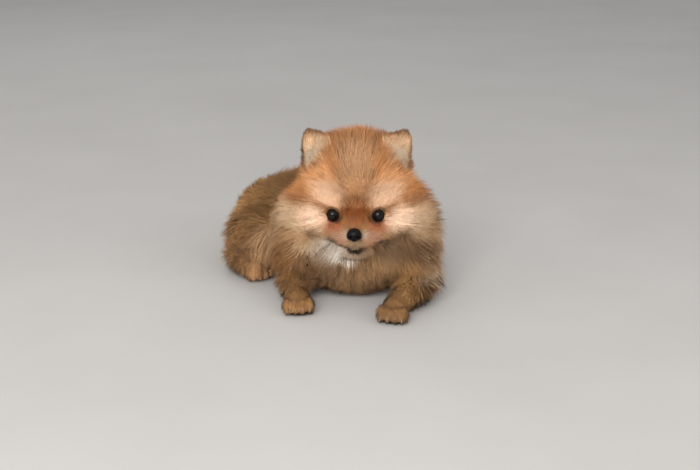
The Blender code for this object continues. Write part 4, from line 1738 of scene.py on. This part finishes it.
    def bare(self, roots: Array) -> Array:
        """Whether hair can't grow: on the lids, lips and nose.

        Args:
            roots: places in metres.

        Returns:
            True at each bare root.
        """
        bare = self.skin.from_lips(roots) < 1.2
        for side in SIDES:
            edge, away, _ = self.skin.opening(roots, side)
            bare |= (edge < 1.05) & (away < self.skin.lid_reach)
        skull = self.posture.frames[Part.SKULL].local(roots)
        return bare | (np.linalg.norm((skull - self.nose_place) / self.nose_radii, axis=1) < 1)

    def grow(self, zone: Zone, triangles: Array, index: int) -> bpy.types.Object:
        """Grows one zone.

        Args:
            zone: the zone.
            triangles: the skin's triangles that belong to it.
            index: the zone's number, which fixes its random draw.

        Returns:
            The zone's object.
        """
        growth = self.growths[zone]
        draw = np.random.default_rng(SEED + index)
        roots, normals, maps = self.roots(triangles, growth.strands, draw)
        keep = ~self.bare(roots)
        roots, normals, maps = roots[keep], normals[keep], maps[keep]
        count = len(roots)
        lies, lengths = self.lie(roots)
        least = np.full(count, growth.lift)
        on_face = zone is Zone.FACE
        if on_face:
            lies, by_lids = self.from_eyes(roots, lies)
            least = np.maximum(least, self.by_lids_lift * by_lids)
        flow = unit(lies - normals * (lies * normals).sum(1, keepdims=True))
        swing = draw.normal(0, growth.scatter, count) + Ripple(SEED + 3, 0.024).at(roots) * growth.swirl
        flow = unit(flow + np.cross(normals, flow) * swing[:, None])
        depth = self.room(roots, normals, self.deepest)
        lift = np.clip(depth / (lengths * MM), least, 0.96) * draw.uniform(0.88, 1.06, count)
        lift = np.clip(lift, self.flattest, self.steepest)[:, None]
        way = flow * np.sqrt(1 - lift**2) + normals * lift
        room = self.room(roots, way, self.farthest)
        length = np.minimum(lengths * MM * draw.uniform(1.0, 1.25, count), room * 1.06 + 0.0010)
        stray = draw.uniform(0, 1, count) < growth.stray
        length = length * np.where(stray, self.stray_length, draw.uniform(0.84, 1.07, count))
        length = np.maximum(length, growth.shortest * MM)
        if on_face:
            length = length * self.by_eyes(roots)
        under = draw.uniform(0, 1, count) < growth.under
        length = np.where(under, length * self.under_length, length)
        width = growth.width * MM * draw.uniform(0.8, 1.2, count) * np.where(under, self.under_width, 1.0)
        strands = Strands(roots, normals, way, length, width, draw)
        outer_parts = roots + way * length[:, None] * 0.7
        outer = [self.outline.find_nearest(Vector(place))[2] for place in outer_parts]
        strands.facing = unit(self.outward[outer] + normals * 0.35)
        strands.clump(growth, roots, stray, draw)
        self.trim(strands)
        middle = strands.path(np.full(count, 0.8))
        colours = self.markings_and_shading.at(middle + draw.normal(0, self.bleed, (count, 3)))
        if on_face:
            colours = self.fringed(roots, colours)
        lock_shade = draw.uniform(-1, 1, count)
        shade = 1 + growth.contrast * (lock_shade[strands.chief] + 0.6 * lock_shade[strands.leader])
        colours = colours * (shade * np.where(under, self.under_shade, 1.0))[:, None]
        ticked = (draw.uniform(0, 1, count) < growth.ticked) & ~under
        return strands.mesh(zone.value, colours, ticked, under, maps, self.patch, growth)

    def room(self, roots: Array, ways: Array, most: float) -> Array:
        """How far rays run before they leave the outline.

        Args:
            roots: where they start.
            ways: their directions.
            most: how far they may run, in metres.

        Returns:
            A distance for each ray, or no_room where it leaves nothing.
        """
        hits = [self.outline.ray_cast(Vector(root), Vector(way), most) for root, way in zip(roots, ways)]
        return np.array([self.no_room if hit[0] is None else hit[3] for hit in hits])

    def trim(self, strands: "Strands") -> None:
        """Shortens the hairs whose tips stand out beyond the outline.

        Args:
            strands: the hairs, after they are gathered into locks.
        """
        tips = strands.path(np.ones(len(strands.lengths)))
        found = [self.outline.find_nearest(Vector(tip)) for tip in tips]
        near = np.array([hit[0] for hit in found])
        beyond = ((tips - near) * self.outward[[hit[2] for hit in found]]).sum(1)
        shorter = np.maximum(strands.lengths * 0.5, strands.lengths - (beyond - 0.001) * 1.6)
        strands.lengths = np.where(beyond > self.overhang, shorter, strands.lengths)

    def fringed(self, roots: Array, colours: Array) -> Array:
        """Darkens the hairs that grow round the lids and along the lips.

        Args:
            roots: where they grow.
            colours: their colours so far.

        Returns:
            The new colours.
        """
        for side in SIDES:
            share = self.skin.round_lids(roots, side, 1.32, 1.12) * 0.8
            colours = blend(colours, Tone.UMBER.light() * 0.4, share)
        return blend(colours, Tone.DARK.light() * 0.6, smoothstep(2.4, 1.6, self.skin.from_lips(roots)) * 0.7)

    def by_eyes(self, roots: Array) -> Array:
        """How much shorter hair is near the lids and lips.

        Args:
            roots: where it grows.

        Returns:
            A share for each root, from 1 far away down to about a half.
        """
        share = 0.45 + 0.55 * smoothstep(1.0, 4.5, self.skin.from_lips(roots))
        for side in SIDES:
            edge, away, _ = self.skin.opening(roots, side)
            share = np.minimum(share, np.where(away < 14, 0.5 + 0.5 * smoothstep(1.1, 2.3, edge), 1.0))
        return share

    def from_eyes(self, roots: Array, lies: Array) -> tuple[Array, Array]:
        """Turns the lie of the hair round the lids away from the eyes.

        Args:
            roots: where it grows.
            lies: its lie so far.

        Returns:
            The new lies, and how near the lids each root is.
        """
        nearest = np.zeros(len(roots))
        for side in SIDES:
            near = self.skin.round_lids(roots, side, 2.1, 1.15)
            share = (near * 0.85)[:, None]
            lies = unit(lies * (1 - share) + unit(roots - self.posture.eye(side)) * share)
            nearest = np.maximum(nearest, near)
        return lies, nearest


class Strands:
    """Many hairs of one zone, as paths that are turned into thin closed solids."""

    edge: float = 0.35
    full_rings: tuple[float, ...] = (0.0, 0.38, 0.74)
    short_rings: tuple[float, ...] = (0.0, 0.5)
    root_depth: float = 0.0004
    floor_gap: float = 0.0004
    ring_gap: float = 0.0001
    taper: float = 0.62
    flatness: float = 0.75
    tip_shade: float = 0.5

    def __init__(self, roots: Array, normals: Array, ways: Array, lengths: Array, widths: Array,
                 draw: np.random.Generator) -> None:
        """Keeps the hairs' places and sizes.

        Args:
            roots: where each hair grows out, in metres.
            normals: the skin's outward direction there.
            ways: the mean direction of each hair.
            lengths: each hair's length in metres.
            widths: each hair's width at the root in metres.
            draw: the random source.
        """
        self.roots = roots - normals * self.root_depth
        self.normals, self.lengths, self.widths = normals, lengths, widths
        self.sides = unit(np.cross(normals, ways))
        self.start = unit(ways + normals * 0.24)
        self.end = unit(ways - normals * 0.26)
        self.phase = draw.uniform(0, 2 * math.pi, len(roots))
        self.leader = self.chief = np.arange(len(roots))
        self.pull = self.hold = np.zeros(len(roots))
        self.wave = np.zeros(len(roots))
        self.own = draw.uniform(0, 1, len(roots))
        self.facing = normals

    def clump(self, growth: Growth, roots: Array, stray: Array, draw: np.random.Generator) -> None:
        """Gathers the hairs into locks and lets them wave and sag.

        Args:
            growth: the zone's habit.
            roots: the roots' places.
            stray: which hairs fly away from their lock and curl more.
            draw: the random source.
        """
        self.leader = self.nearest(roots, draw.uniform(0, 1, len(roots)) < 1 / growth.group)
        self.chief = self.nearest(roots, draw.uniform(0, 1, len(roots)) < 0.2 / growth.group)
        self.pull = growth.clump * draw.uniform(0.55, 1.0, len(roots)) * np.where(stray, 0.3, 1.0)
        self.hold = growth.lock * draw.uniform(0.7, 1.0, len(roots)) * np.where(stray, 0.3, 1.0)
        self.wave = growth.wave * MM * np.where(stray, 1.8, 1.0)
        self.end = unit(self.end + np.array((0, 0, -growth.sag)))
        together = Ripple(SEED + 7, 0.016).at(roots) * 2.2
        self.phase = self.phase * 0.25 + together

    @staticmethod
    def nearest(roots: Array, leading: Array) -> Array:
        """The leading hair that is nearest to each hair.

        Args:
            roots: where the hairs grow.
            leading: whether each hair leads.

        Returns:
            The leader's number for each hair.
        """
        leaders = np.nonzero(leading)[0]
        tree = KDTree(len(leaders))
        for number, leader in enumerate(leaders):
            tree.insert(Vector(roots[leader]), number)
        tree.balance()
        return np.array([leaders[tree.find(Vector(root))[1]] for root in roots])

    def free_path(self, share: Array) -> Array:
        """Places along each hair before it is gathered into a lock.

        Args:
            share: how far along each hair, from its root (0) to its tip (1).

        Returns:
            One place for each hair.
        """
        along = share[:, None]
        curve = self.start * (along - along**2 / 2) + self.end * (along**2 / 2)
        bend = np.sin(share * 5.2 + self.phase) - np.sin(self.phase)
        size = np.minimum(self.wave, self.lengths * 0.09) * share
        return self.roots + curve * self.lengths[:, None] + self.sides * (bend * size)[:, None]

    def path(self, share: Array) -> Array:
        """Places along each gathered hair.

        Args:
            share: how far along each hair, from its root (0) to its tip (1).

        Returns:
            One place for each hair, above the floor.
        """
        free = self.free_path(share)
        hold = (self.hold * share**1.3)[:, None]
        held = free * (1 - hold) + free[self.chief] * hold
        pull = (self.pull * share**1.6)[:, None]
        moved = held * (1 - pull) + held[self.leader] * pull
        moved[:, 2] = np.maximum(moved[:, 2], self.floor_gap)
        return moved

    def mesh(self, name: str, colours: Array, ticked: Array, under: Array, maps: Array, patch: float,
             growth: Growth) -> bpy.types.Object:
        """Turns the paths into one mesh.

        Args:
            name: the object's name.
            colours: each hair's colour.
            ticked: which hairs have a dark tip.
            under: which hairs are undercoat, drawn with fewer faces.
            maps: each root's place on the skin's unwrap.
            patch: the size of a hair's patch on the unwrap.
            growth: the zone's habit.

        Returns:
            The object.
        """
        parts, faces, offset = [], [], 0
        short = under if growth.under > 0 else np.ones(len(under), bool)
        for chosen, rings in ((~short, self.full_rings), (short, self.short_rings)):
            if chosen.any():
                chosen = np.nonzero(chosen)[0]
                parts.append(self.solids(chosen, rings, colours, ticked, maps, patch, growth.root))
                faces.append(parts[-1]["faces"] + offset)
                offset += len(parts[-1]["points"])
        joined = {key: np.concatenate([part[key] for part in parts]) for key in parts[0] if key != "faces"}
        faces = np.concatenate(faces)
        made = mesh_object(name, joined["points"], faces)
        carry(made.data, MARKINGS_AND_SHADING, joined["colours"])
        carry(made.data, ALONG, joined["along"])
        carry(made.data, STRAND, joined["own"])
        layer = made.data.uv_layers.new(name=BAKE_MAP)
        layer.data.foreach_set("uv", joined["maps"][faces.ravel()].astype(np.float32).ravel())
        made.data.normals_split_custom_set_from_vertices(joined["shading"].astype(np.float32))
        return made

    def solids(self, chosen: Array, rings: tuple[float, ...], colours: Array, ticked: Array, maps: Array,
               patch: float, root: float) -> dict[str, Array]:
        """The closed tapering solids of some hairs.

        Args:
            chosen: the hairs' numbers.
            rings: where along the hair its triangular rings stand.
            colours: each hair's colour.
            ticked: which hairs have a dark tip.
            maps: each root's place on the unwrap.
            patch: the size of a hair's patch on the unwrap.
            root: how pale the painted shade at each hair's root starts, from 0 (dark) to 1.

        Returns:
            Points, faces, colours, shares along the hair, own numbers and places on the unwrap.
        """
        count, size = len(chosen), len(rings) * 3 + 1
        points = np.empty((count, size, 3))
        shading = np.empty((count, size, 3))
        along = np.empty((count, size))
        place = np.empty((count, size, 2))
        every = np.ones(len(self.roots))
        for ring, share in enumerate(rings):
            middle = self.path(every * share)[chosen]
            ahead = unit(self.path(every * (share + 0.05))[chosen] - middle)
            side = unit(np.cross(self.normals[chosen], ahead))
            out = np.cross(ahead, side)
            half = (self.widths[chosen] * 0.5 * (1 - self.taper * share**1.5))[:, None]
            corners = (side * half, out * half * self.flatness, -side * half)
            facing = self.facing[chosen]
            over = unit(facing - ahead * (facing * ahead).sum(1, keepdims=True) * 0.8)
            for corner, shift in enumerate(corners):
                points[:, ring * 3 + corner] = middle + shift
                shading[:, ring * 3 + corner] = unit(over * (1 - self.edge) + unit(shift) * self.edge)
                along[:, ring * 3 + corner] = root + (1 - root) * share
                place[:, ring * 3 + corner] = (corner * 0.5, share if ring or corner != 1 else -0.2)
        points[:, -1], shading[:, -1] = self.path(every)[chosen], over
        along[:, -1], place[:, -1] = 1.0, (0.5, 1.0)
        points[..., 2] = np.maximum(points[..., 2], self.ring_gap)
        faces = [(0, 2, 1)]
        for ring in range(len(rings) - 1):
            low, high = ring * 3, ring * 3 + 3
            for corner in range(3):
                after = (corner + 1) % 3
                faces += [(low + corner, low + after, high + after),
                          (low + corner, high + after, high + corner)]
        last = size - 4
        faces += [(last + corner, last + (corner + 1) % 3, size - 1) for corner in range(3)]
        pattern = np.array(faces)[None] + (np.arange(count) * size)[:, None, None]
        near_tip = smoothstep(0.45 + 0.55 * root, 0.9 + 0.1 * root, along)
        dark = 1 - self.tip_shade * ticked[chosen, None] * near_tip
        shade = colours[chosen, None] * dark[..., None]
        return {
            "points": points.reshape(-1, 3),
            "shading": shading.reshape(-1, 3),
            "faces": pattern.reshape(-1, 3),
            "colours": shade.reshape(-1, 3),
            "along": along.ravel(),
            "own": np.repeat(self.own[chosen], size),
            "maps": (maps[chosen, None] + place * patch).reshape(-1, 2),
        }


# --- Eyes, nose, claws and whiskers -------------------------------------------------------------------------


@dataclass
class Eyes:
    """Both eyeballs, each with its cornea."""

    posture: Posture
    rings: int = 48
    segments: int = 64
    cornea: float = 0.045

    def build(self) -> list[bpy.types.Object]:
        """Builds the eyeballs."""
        material = EyeFinish().material()
        made = []
        for side, name in zip(SIDES, ("eyeball_left", "eyeball_right")):
            made.append(self.ball(side, name))
            made[-1].data.materials.append(material)
        return made

    def ball(self, side: int, name: str) -> bpy.types.Object:
        """One eyeball with its pole in the way that it looks.

        Args:
            side: 1 for the left eye, -1 for the right.
            name: the object's name.

        Returns:
            The eyeball.
        """
        gaze = self.posture.gaze(side)
        polar = np.linspace(0, math.pi, self.rings + 1)[1:-1]
        turn = np.linspace(0, 2 * math.pi, self.segments, endpoint=False)
        polar_grid, turn_grid = np.meshgrid(polar, turn, indexing="ij")
        radius = self.posture.eye_radius * (1 + self.cornea * smoothstep(0.75, 0.25, polar_grid))
        own = np.stack((np.sin(polar_grid) * np.cos(turn_grid), np.cos(polar_grid),
                        np.sin(polar_grid) * np.sin(turn_grid)), -1) * radius[..., None]
        front = self.posture.eye_radius * (1 + self.cornea)
        own = np.concatenate((own.reshape(-1, 3), ((0, front, 0), (0, -self.posture.eye_radius, 0))))
        angle = np.concatenate((polar_grid.ravel(), (0.0, math.pi)))
        faces = []
        for ring in range(len(polar) - 1):
            for step in range(self.segments):
                after = (step + 1) % self.segments
                low, high = ring * self.segments, (ring + 1) * self.segments
                faces += [(low + step, high + step, high + after), (low + step, high + after, low + after)]
        last = (len(polar) - 1) * self.segments
        top, bottom = len(own) - 2, len(own) - 1
        for step in range(self.segments):
            after = (step + 1) % self.segments
            faces += [(top, step, after), (bottom, last + after, last + step)]
        made = mesh_object(name, gaze.at(own), outward(gaze.at(own), np.array(faces)))
        carry(made.data, GAZE, angle / 1.5)
        return made


def outward(points: Array, faces: Array) -> Array:
    """Faces of a closed mesh, turned round if they point inwards.

    Args:
        points: the mesh's points.
        faces: its triangles.

    Returns:
        The triangles, which point outwards.
    """
    first, second, third = (points[faces[:, corner]] for corner in range(3))
    volume = (np.cross(first, second) * third).sum()
    return faces if volume > 0 else faces[:, ::-1]


@dataclass
class Nose:
    """The bare nose with its nostrils, their outer slits and the groove down its middle."""

    posture: Posture
    place: Place = (-0.3, 55.5, -21.2)
    radii: Place = (6.4, 4.7, 5.4)
    voxel: float = 0.00032
    nostril: tuple[float, float] = (2.55, -0.4)
    nostril_radii: tuple[float, float] = (1.25, 1.15)
    nostril_depth: float = 2.6
    slit: tuple[Place, ...] = ((2.9, 0, -0.9), (4.3, 0, -1.3), (5.3, 0, -0.6))
    slit_depth: float = 1.0
    groove_depth: float = 0.55

    def build(self) -> bpy.types.Object:
        """Builds the nose."""
        skull = self.posture.frames[Part.SKULL]
        across, ahead, up = self.place
        wide, deep, high = self.radii
        masses = [
            Mass(skull, (across, ahead, up + 0.3), (wide * 0.86, deep * 0.92, high * 0.86)),
            Mass(skull, (across, ahead - 1.0, up + 2.0), (wide * 0.74, deep * 0.9, high * 0.55)),
            Mass(skull, (across, ahead - 0.4, up - 2.6), (wide * 0.42, deep * 0.85, high * 0.44)),
        ]
        for side in SIDES:
            masses.append(Mass(skull, (across + 3.0 * side, ahead - 0.5, up - 0.3), (2.75, deep * 0.86, 3.3)))
        made = fused("nose_leather", masses, self.voxel, 5, rings=4)
        points = points_of(made.data)
        own = skull.local(points) - np.array(self.place)
        depth = np.zeros(len(points))
        for side in SIDES:
            turned = own * (side, 1, 1)
            hole = np.linalg.norm((turned[:, [0, 2]] - self.nostril) / self.nostril_radii, axis=1)
            slit = line_distance(turned * (1, 0, 1), np.array(self.slit))
            front = smoothstep(0.6, 1.8, own[:, 1])
            depth = np.maximum(depth, self.nostril_depth * smoothstep(1.15, 0.45, hole) * front)
            front = smoothstep(-1.5, 0.5, own[:, 1])
            depth = np.maximum(depth, self.slit_depth * smoothstep(0.75, 0.1, slit) * front)
        middle = smoothstep(0.55, 0.05, np.abs(own[:, 0])) * smoothstep(1.5, -0.5, own[:, 2])
        depth = np.maximum(depth, self.groove_depth * middle)
        points = points + skull.way((0, -1, 0)) * (depth * MM)[:, None]
        made.data.vertices.foreach_set("co", points.astype(np.float32).ravel())
        made.data.polygons.foreach_set("use_smooth", np.ones(len(made.data.polygons), bool))
        made.data.update()
        made.data.materials.append(NoseFinish().material())
        return made


@dataclass
class TaperedStrand:
    """A Geometry Nodes tree that turns bent lines into tapering solids of horn or bristle."""

    sides: int
    points: int
    root_radius: float
    tip_share: float
    inputs: tuple[str, ...] = ("Sides", "Points", "Root radius", "Tip share")

    def tree(self, name: str, material: bpy.types.Material) -> bpy.types.NodeTree:
        """Builds the tree.

        Args:
            name: the tree's name.
            material: the finish of what it makes.

        Returns:
            The tree, with named inputs for its sizes.
        """
        tree = bpy.data.node_groups.new(name, "GeometryNodeTree")
        face = tree.interface
        face.new_socket("Geometry", in_out="INPUT", socket_type="NodeSocketGeometry")
        for label, kind in zip(self.inputs, ("Int", "Int", "Float", "Float")):
            face.new_socket(label, in_out="INPUT", socket_type=f"NodeSocket{kind}")
        face.new_socket("Geometry", in_out="OUTPUT", socket_type="NodeSocketGeometry")
        node = tree.nodes.new
        given, out = node("NodeGroupInput"), node("NodeGroupOutput")
        lines, even = node("GeometryNodeMeshToCurve"), node("GeometryNodeResampleCurve")
        along, taper = node("GeometryNodeSplineParameter"), node("ShaderNodeMapRange")
        radius, profile = node("GeometryNodeSetCurveRadius"), node("GeometryNodeCurvePrimitiveCircle")
        solid, real = node("GeometryNodeCurveToMesh"), node("GeometryNodeRealizeInstances")
        smooth, finish = node("GeometryNodeSetShadeSmooth"), node("GeometryNodeSetMaterial")
        tip = node("ShaderNodeMath")
        tip.operation = "MULTIPLY"
        taper.interpolation_type = "SMOOTHERSTEP"
        finish.inputs["Material"].default_value = material
        profile.inputs["Radius"].default_value = 1.0
        solid.inputs["Fill Caps"].default_value = True
        links = [
            (given, "Geometry", lines, "Mesh"), (lines, "Curve", even, "Curve"),
            (given, "Points", even, "Count"), (given, "Root radius", tip, 0), (given, "Tip share", tip, 1),
            (along, "Factor", taper, "Value"), (given, "Root radius", taper, "To Min"),
            (tip, 0, taper, "To Max"), (even, "Curve", radius, "Curve"), (taper, "Result", radius, "Radius"),
            (given, "Sides", profile, "Resolution"), (radius, "Curve", solid, "Curve"),
            (profile, "Curve", solid, "Profile Curve"), (solid, "Mesh", real, "Geometry"),
            (real, "Geometry", smooth, "Geometry"), (smooth, "Geometry", finish, "Geometry"),
            (finish, "Geometry", out, "Geometry"),
        ]
        if "Scale" in solid.inputs:
            links.append((taper, "Result", solid, "Scale"))
        for source, leaving, target, entering in links:
            tree.links.new(source.outputs[leaving], target.inputs[entering])
        return tree

    def along(self, name: str, lines: Sequence[Array], material: bpy.types.Material) -> bpy.types.Object:
        """Makes one tapered solid along each line.

        Args:
            name: the object's name.
            lines: bent lines in metres, from root to tip.
            material: the finish.

        Returns:
            A plain mesh object.
        """
        mesh = bpy.data.meshes.new(name)
        points = [tuple(point) for line in lines for point in line]
        edges, start = [], 0
        for line in lines:
            edges += [(start + index, start + index + 1) for index in range(len(line) - 1)]
            start += len(line)
        mesh.from_pydata(points, edges, [])
        drawn = bpy.data.objects.new(name + "_lines", mesh)
        bpy.context.scene.collection.objects.link(drawn)
        tree = self.tree(name, material)
        modifier = drawn.modifiers.new("tapered", "NODES")
        modifier.node_group = tree
        sizes = dict(zip(self.inputs, (self.sides, self.points, self.root_radius, self.tip_share)))
        for item in tree.interface.items_tree:
            if item.in_out == "INPUT" and item.name in sizes:
                modifier[item.identifier] = sizes[item.name]
        return baked(drawn, name)


@dataclass
class Claws:
    """Sixteen small curved claws."""

    posture: Posture
    skin: Skin
    length: float = 5.2

    def build(self) -> bpy.types.Object:
        """Builds the claws of all four paws."""
        lines = []
        for part in (*FOREPAWS, *HINDPAWS):
            own = self.posture.frames[part]
            for across, ahead in self.skin.toes():
                root = np.array((across, ahead + self.skin.paw_length * 0.10, -2.4))
                steps = np.linspace(0, 1, 5)[:, None]
                curve = root + steps * (0, self.length, 0.3) + steps**2 * (0, -0.6, -3.6)
                lines.append(own.at(curve))
        shape = TaperedStrand(sides=8, points=8, root_radius=0.00115, tip_share=0.15)
        return shape.along("claws", lines, HornFinish().material())


@dataclass
class Whiskers:
    """Whiskers on both pads, over the eyes and on the cheeks."""

    posture: Posture

    def build(self) -> bpy.types.Object:
        """Builds the whiskers."""
        skull = self.posture.frames[Part.SKULL]
        draw = np.random.default_rng(SEED + 40)
        rows = [((9 + 1.6 * column, 48 - 3.2 * column, -25.0 - 2.6 * row), 9 + 2.2 * column)
                for row in range(3) for column in range(3)]
        rows += [((13, 28, 1), 9), ((16, 27, 2), 10), ((28, 17, -24), 9)]
        lines = []
        for place, length in rows:
            for side in SIDES:
                root = np.array(place) * (side, 1, 1)
                way = unit(np.array((0.85 * side, 0.28, -0.12)) + draw.normal(0, 0.10, 3))
                if place[2] > 0:
                    way = unit(np.array((0.35 * side, 0.35, 0.8)) + draw.normal(0, 0.08, 3))
                size = length * draw.uniform(0.85, 1.2)
                steps = np.linspace(0, 1, 7)[:, None]
                sag = np.array((0, -0.30, -0.22)) * size
                lines.append(skull.at(root + way * size * steps + sag * steps**2))
        shape = TaperedStrand(sides=5, points=8, root_radius=0.00011, tip_share=0.25)
        return shape.along("whiskers", lines, WhiskerFinish().material())


# --- The studio ---------------------------------------------------------------------------------------------


@dataclass(frozen=True)
class Lamp:
    """A soft square light: where it hangs, as (right, toward the camera, up), and how strong it is."""

    name: str
    way: Place
    distance: float
    size: float
    power: float
    colour: Place = (1.0, 1.0, 1.0)
    glossy: bool = False


@dataclass
class Studio:
    """A pale floor, soft light and the camera."""

    posture: Posture
    azimuth: float = -44.0
    pitch: float = 18.4
    focal_pixels: float = 1100.0
    frame_width: int = 700
    frame_height: int = 470
    sensor: float = 36.0
    eyes_across: float = 355.75
    eyes_down: float = 214.5
    depth: float = 0.8305
    floor_half: float = 3.0
    aim: float = 0.06
    sky: Place = (0.98, 0.98, 1.0)
    sky_strength: float = 0.52
    lamps: tuple[Lamp, ...] = (
        Lamp("key", (-0.22, 0.95, 0.6), 1.5, 0.9, 15.8, (1.0, 0.98, 0.95), True),
        Lamp("side", (-0.9, 0.5, 0.25), 1.6, 1.0, 5.6),
        Lamp("fill", (0.8, 0.7, 0.3), 1.8, 1.2, 11.2),
        Lamp("front", (-0.1, 1.0, 0.12), 1.4, 1.0, 7.4),
        Lamp("rim", (-0.3, -0.8, 0.8), 1.8, 1.0, 3.0),
    )

    def bearings(self) -> tuple[Vector, Vector]:
        """The level directions to the camera's right and away from it."""
        turn = math.radians(self.azimuth)
        return Vector((math.cos(turn), math.sin(turn), 0)), Vector((-math.sin(turn), math.cos(turn), 0))

    def camera(self) -> None:
        """Sets the camera up in front of the face and a little above it."""
        tilt = math.radians(self.pitch)
        right, level = self.bearings()
        ahead = level * math.cos(tilt) - Vector((0, 0, math.sin(tilt)))
        up = level * math.sin(tilt) + Vector((0, 0, math.cos(tilt)))
        across = (self.eyes_across - self.frame_width / 2) / self.focal_pixels * self.depth
        high = (self.frame_height / 2 - self.eyes_down) / self.focal_pixels * self.depth
        place = Vector(self.posture.eyes) - ahead * self.depth - right * across - up * high
        data = bpy.data.cameras.new("camera")
        data.sensor_width = self.sensor
        data.lens = self.focal_pixels / self.frame_width * self.sensor
        data.clip_start = 0.01
        made = bpy.data.objects.new("camera", data)
        made.matrix_world = Matrix.Translation(place) @ Matrix((right, up, -ahead)).transposed().to_4x4()
        bpy.context.scene.collection.objects.link(made)
        bpy.context.scene.camera = made

    def floor(self) -> bpy.types.Object:
        """Lays the floor under the puppy."""
        half = self.floor_half
        corners = np.array(((-half, -half, 0), (half, -half, 0), (half, half, 0), (-half, half, 0)), float)
        made = mesh_object("studio_floor", corners, np.array(((0, 1, 2), (0, 2, 3))))
        made.data.materials.append(FloorFinish().material())
        return made

    def light(self, lamp: Lamp) -> None:
        """Hangs a light that faces the puppy.

        Args:
            lamp: what it is like.
        """
        right, level = self.bearings()
        across, toward, up = lamp.way
        away = (right * across - level * toward + Vector((0, 0, up))).normalized()
        data = bpy.data.lights.new(lamp.name, "AREA")
        data.size, data.energy, data.color = lamp.size, lamp.power, lamp.colour
        made = bpy.data.objects.new(lamp.name, data)
        made.location = away * lamp.distance + Vector((0, 0, self.aim))
        made.rotation_euler = away.to_track_quat("Z", "Y").to_euler()
        made.visible_glossy = lamp.glossy
        bpy.context.scene.collection.objects.link(made)

    def build(self) -> bpy.types.Object:
        """Builds the studio and gives back its floor."""
        self.camera()
        for lamp in self.lamps:
            self.light(lamp)
        world = bpy.data.worlds.new("studio")
        world.use_nodes = True
        background = world.node_tree.nodes["Background"]
        background.inputs["Color"].default_value = (*self.sky, 1.0)
        background.inputs["Strength"].default_value = self.sky_strength
        bpy.context.scene.world = world
        bpy.context.scene.view_settings.view_transform = "Standard"
        return self.floor()


# --- Assembly -----------------------------------------------------------------------------------------------


FLESH = ("head", "lower_jaw", "ear_left", "ear_right", "neck", "trunk", "tail", "foreleg_left",
         "foreleg_right", "forepaw_left", "forepaw_right", "hindleg_left", "hindleg_right", "hindpaw_left",
         "hindpaw_right")


def ride(piece: bpy.types.Object, slot: str) -> None:
    """Makes a piece part of the puppy.

    Args:
        piece: the finished piece.
        slot: not used.
    """
    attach(piece, BODY)
    LOG.info("%s: %d faces", piece.name, len(piece.data.polygons))


def main() -> None:
    """Builds the puppy piece by piece, then its studio."""
    logging.basicConfig(level=logging.INFO, format="%(message)s")
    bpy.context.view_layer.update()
    posture = Posture()
    Studio(posture).build()
    markings_and_shading = MarkingsAndShading(posture)
    skin = Skin(posture, markings_and_shading)
    hide = skin.build()
    ride(hide, "coat_sable")
    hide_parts(*FLESH)
    for name, ball in zip(("eye_left", "eye_right"), Eyes(posture).build()):
        ride(ball, "eye_brown")
        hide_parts(name)
    nose = Nose(posture).build()
    ride(nose, "nose_black")
    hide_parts("nose")
    ride(Claws(posture, skin).build(), "nose_black")
    ride(Whiskers(posture).build(), "coat_sable")
    slots = {Zone.FACE: "coat_orange", Zone.CROWN: "coat_orange", Zone.CHEEKS: "coat_cream",
             Zone.EARS: "coat_cream", Zone.THROAT: "coat_cream", Zone.RUFF: "coat_cream",
             Zone.TAIL: "coat_orange"}
    for zone, piece in zip(Zone, Coat(posture, markings_and_shading, skin, hide).build()):
        ride(piece, slots.get(zone, "coat_sable"))


if __name__ == "__main__":
    main()
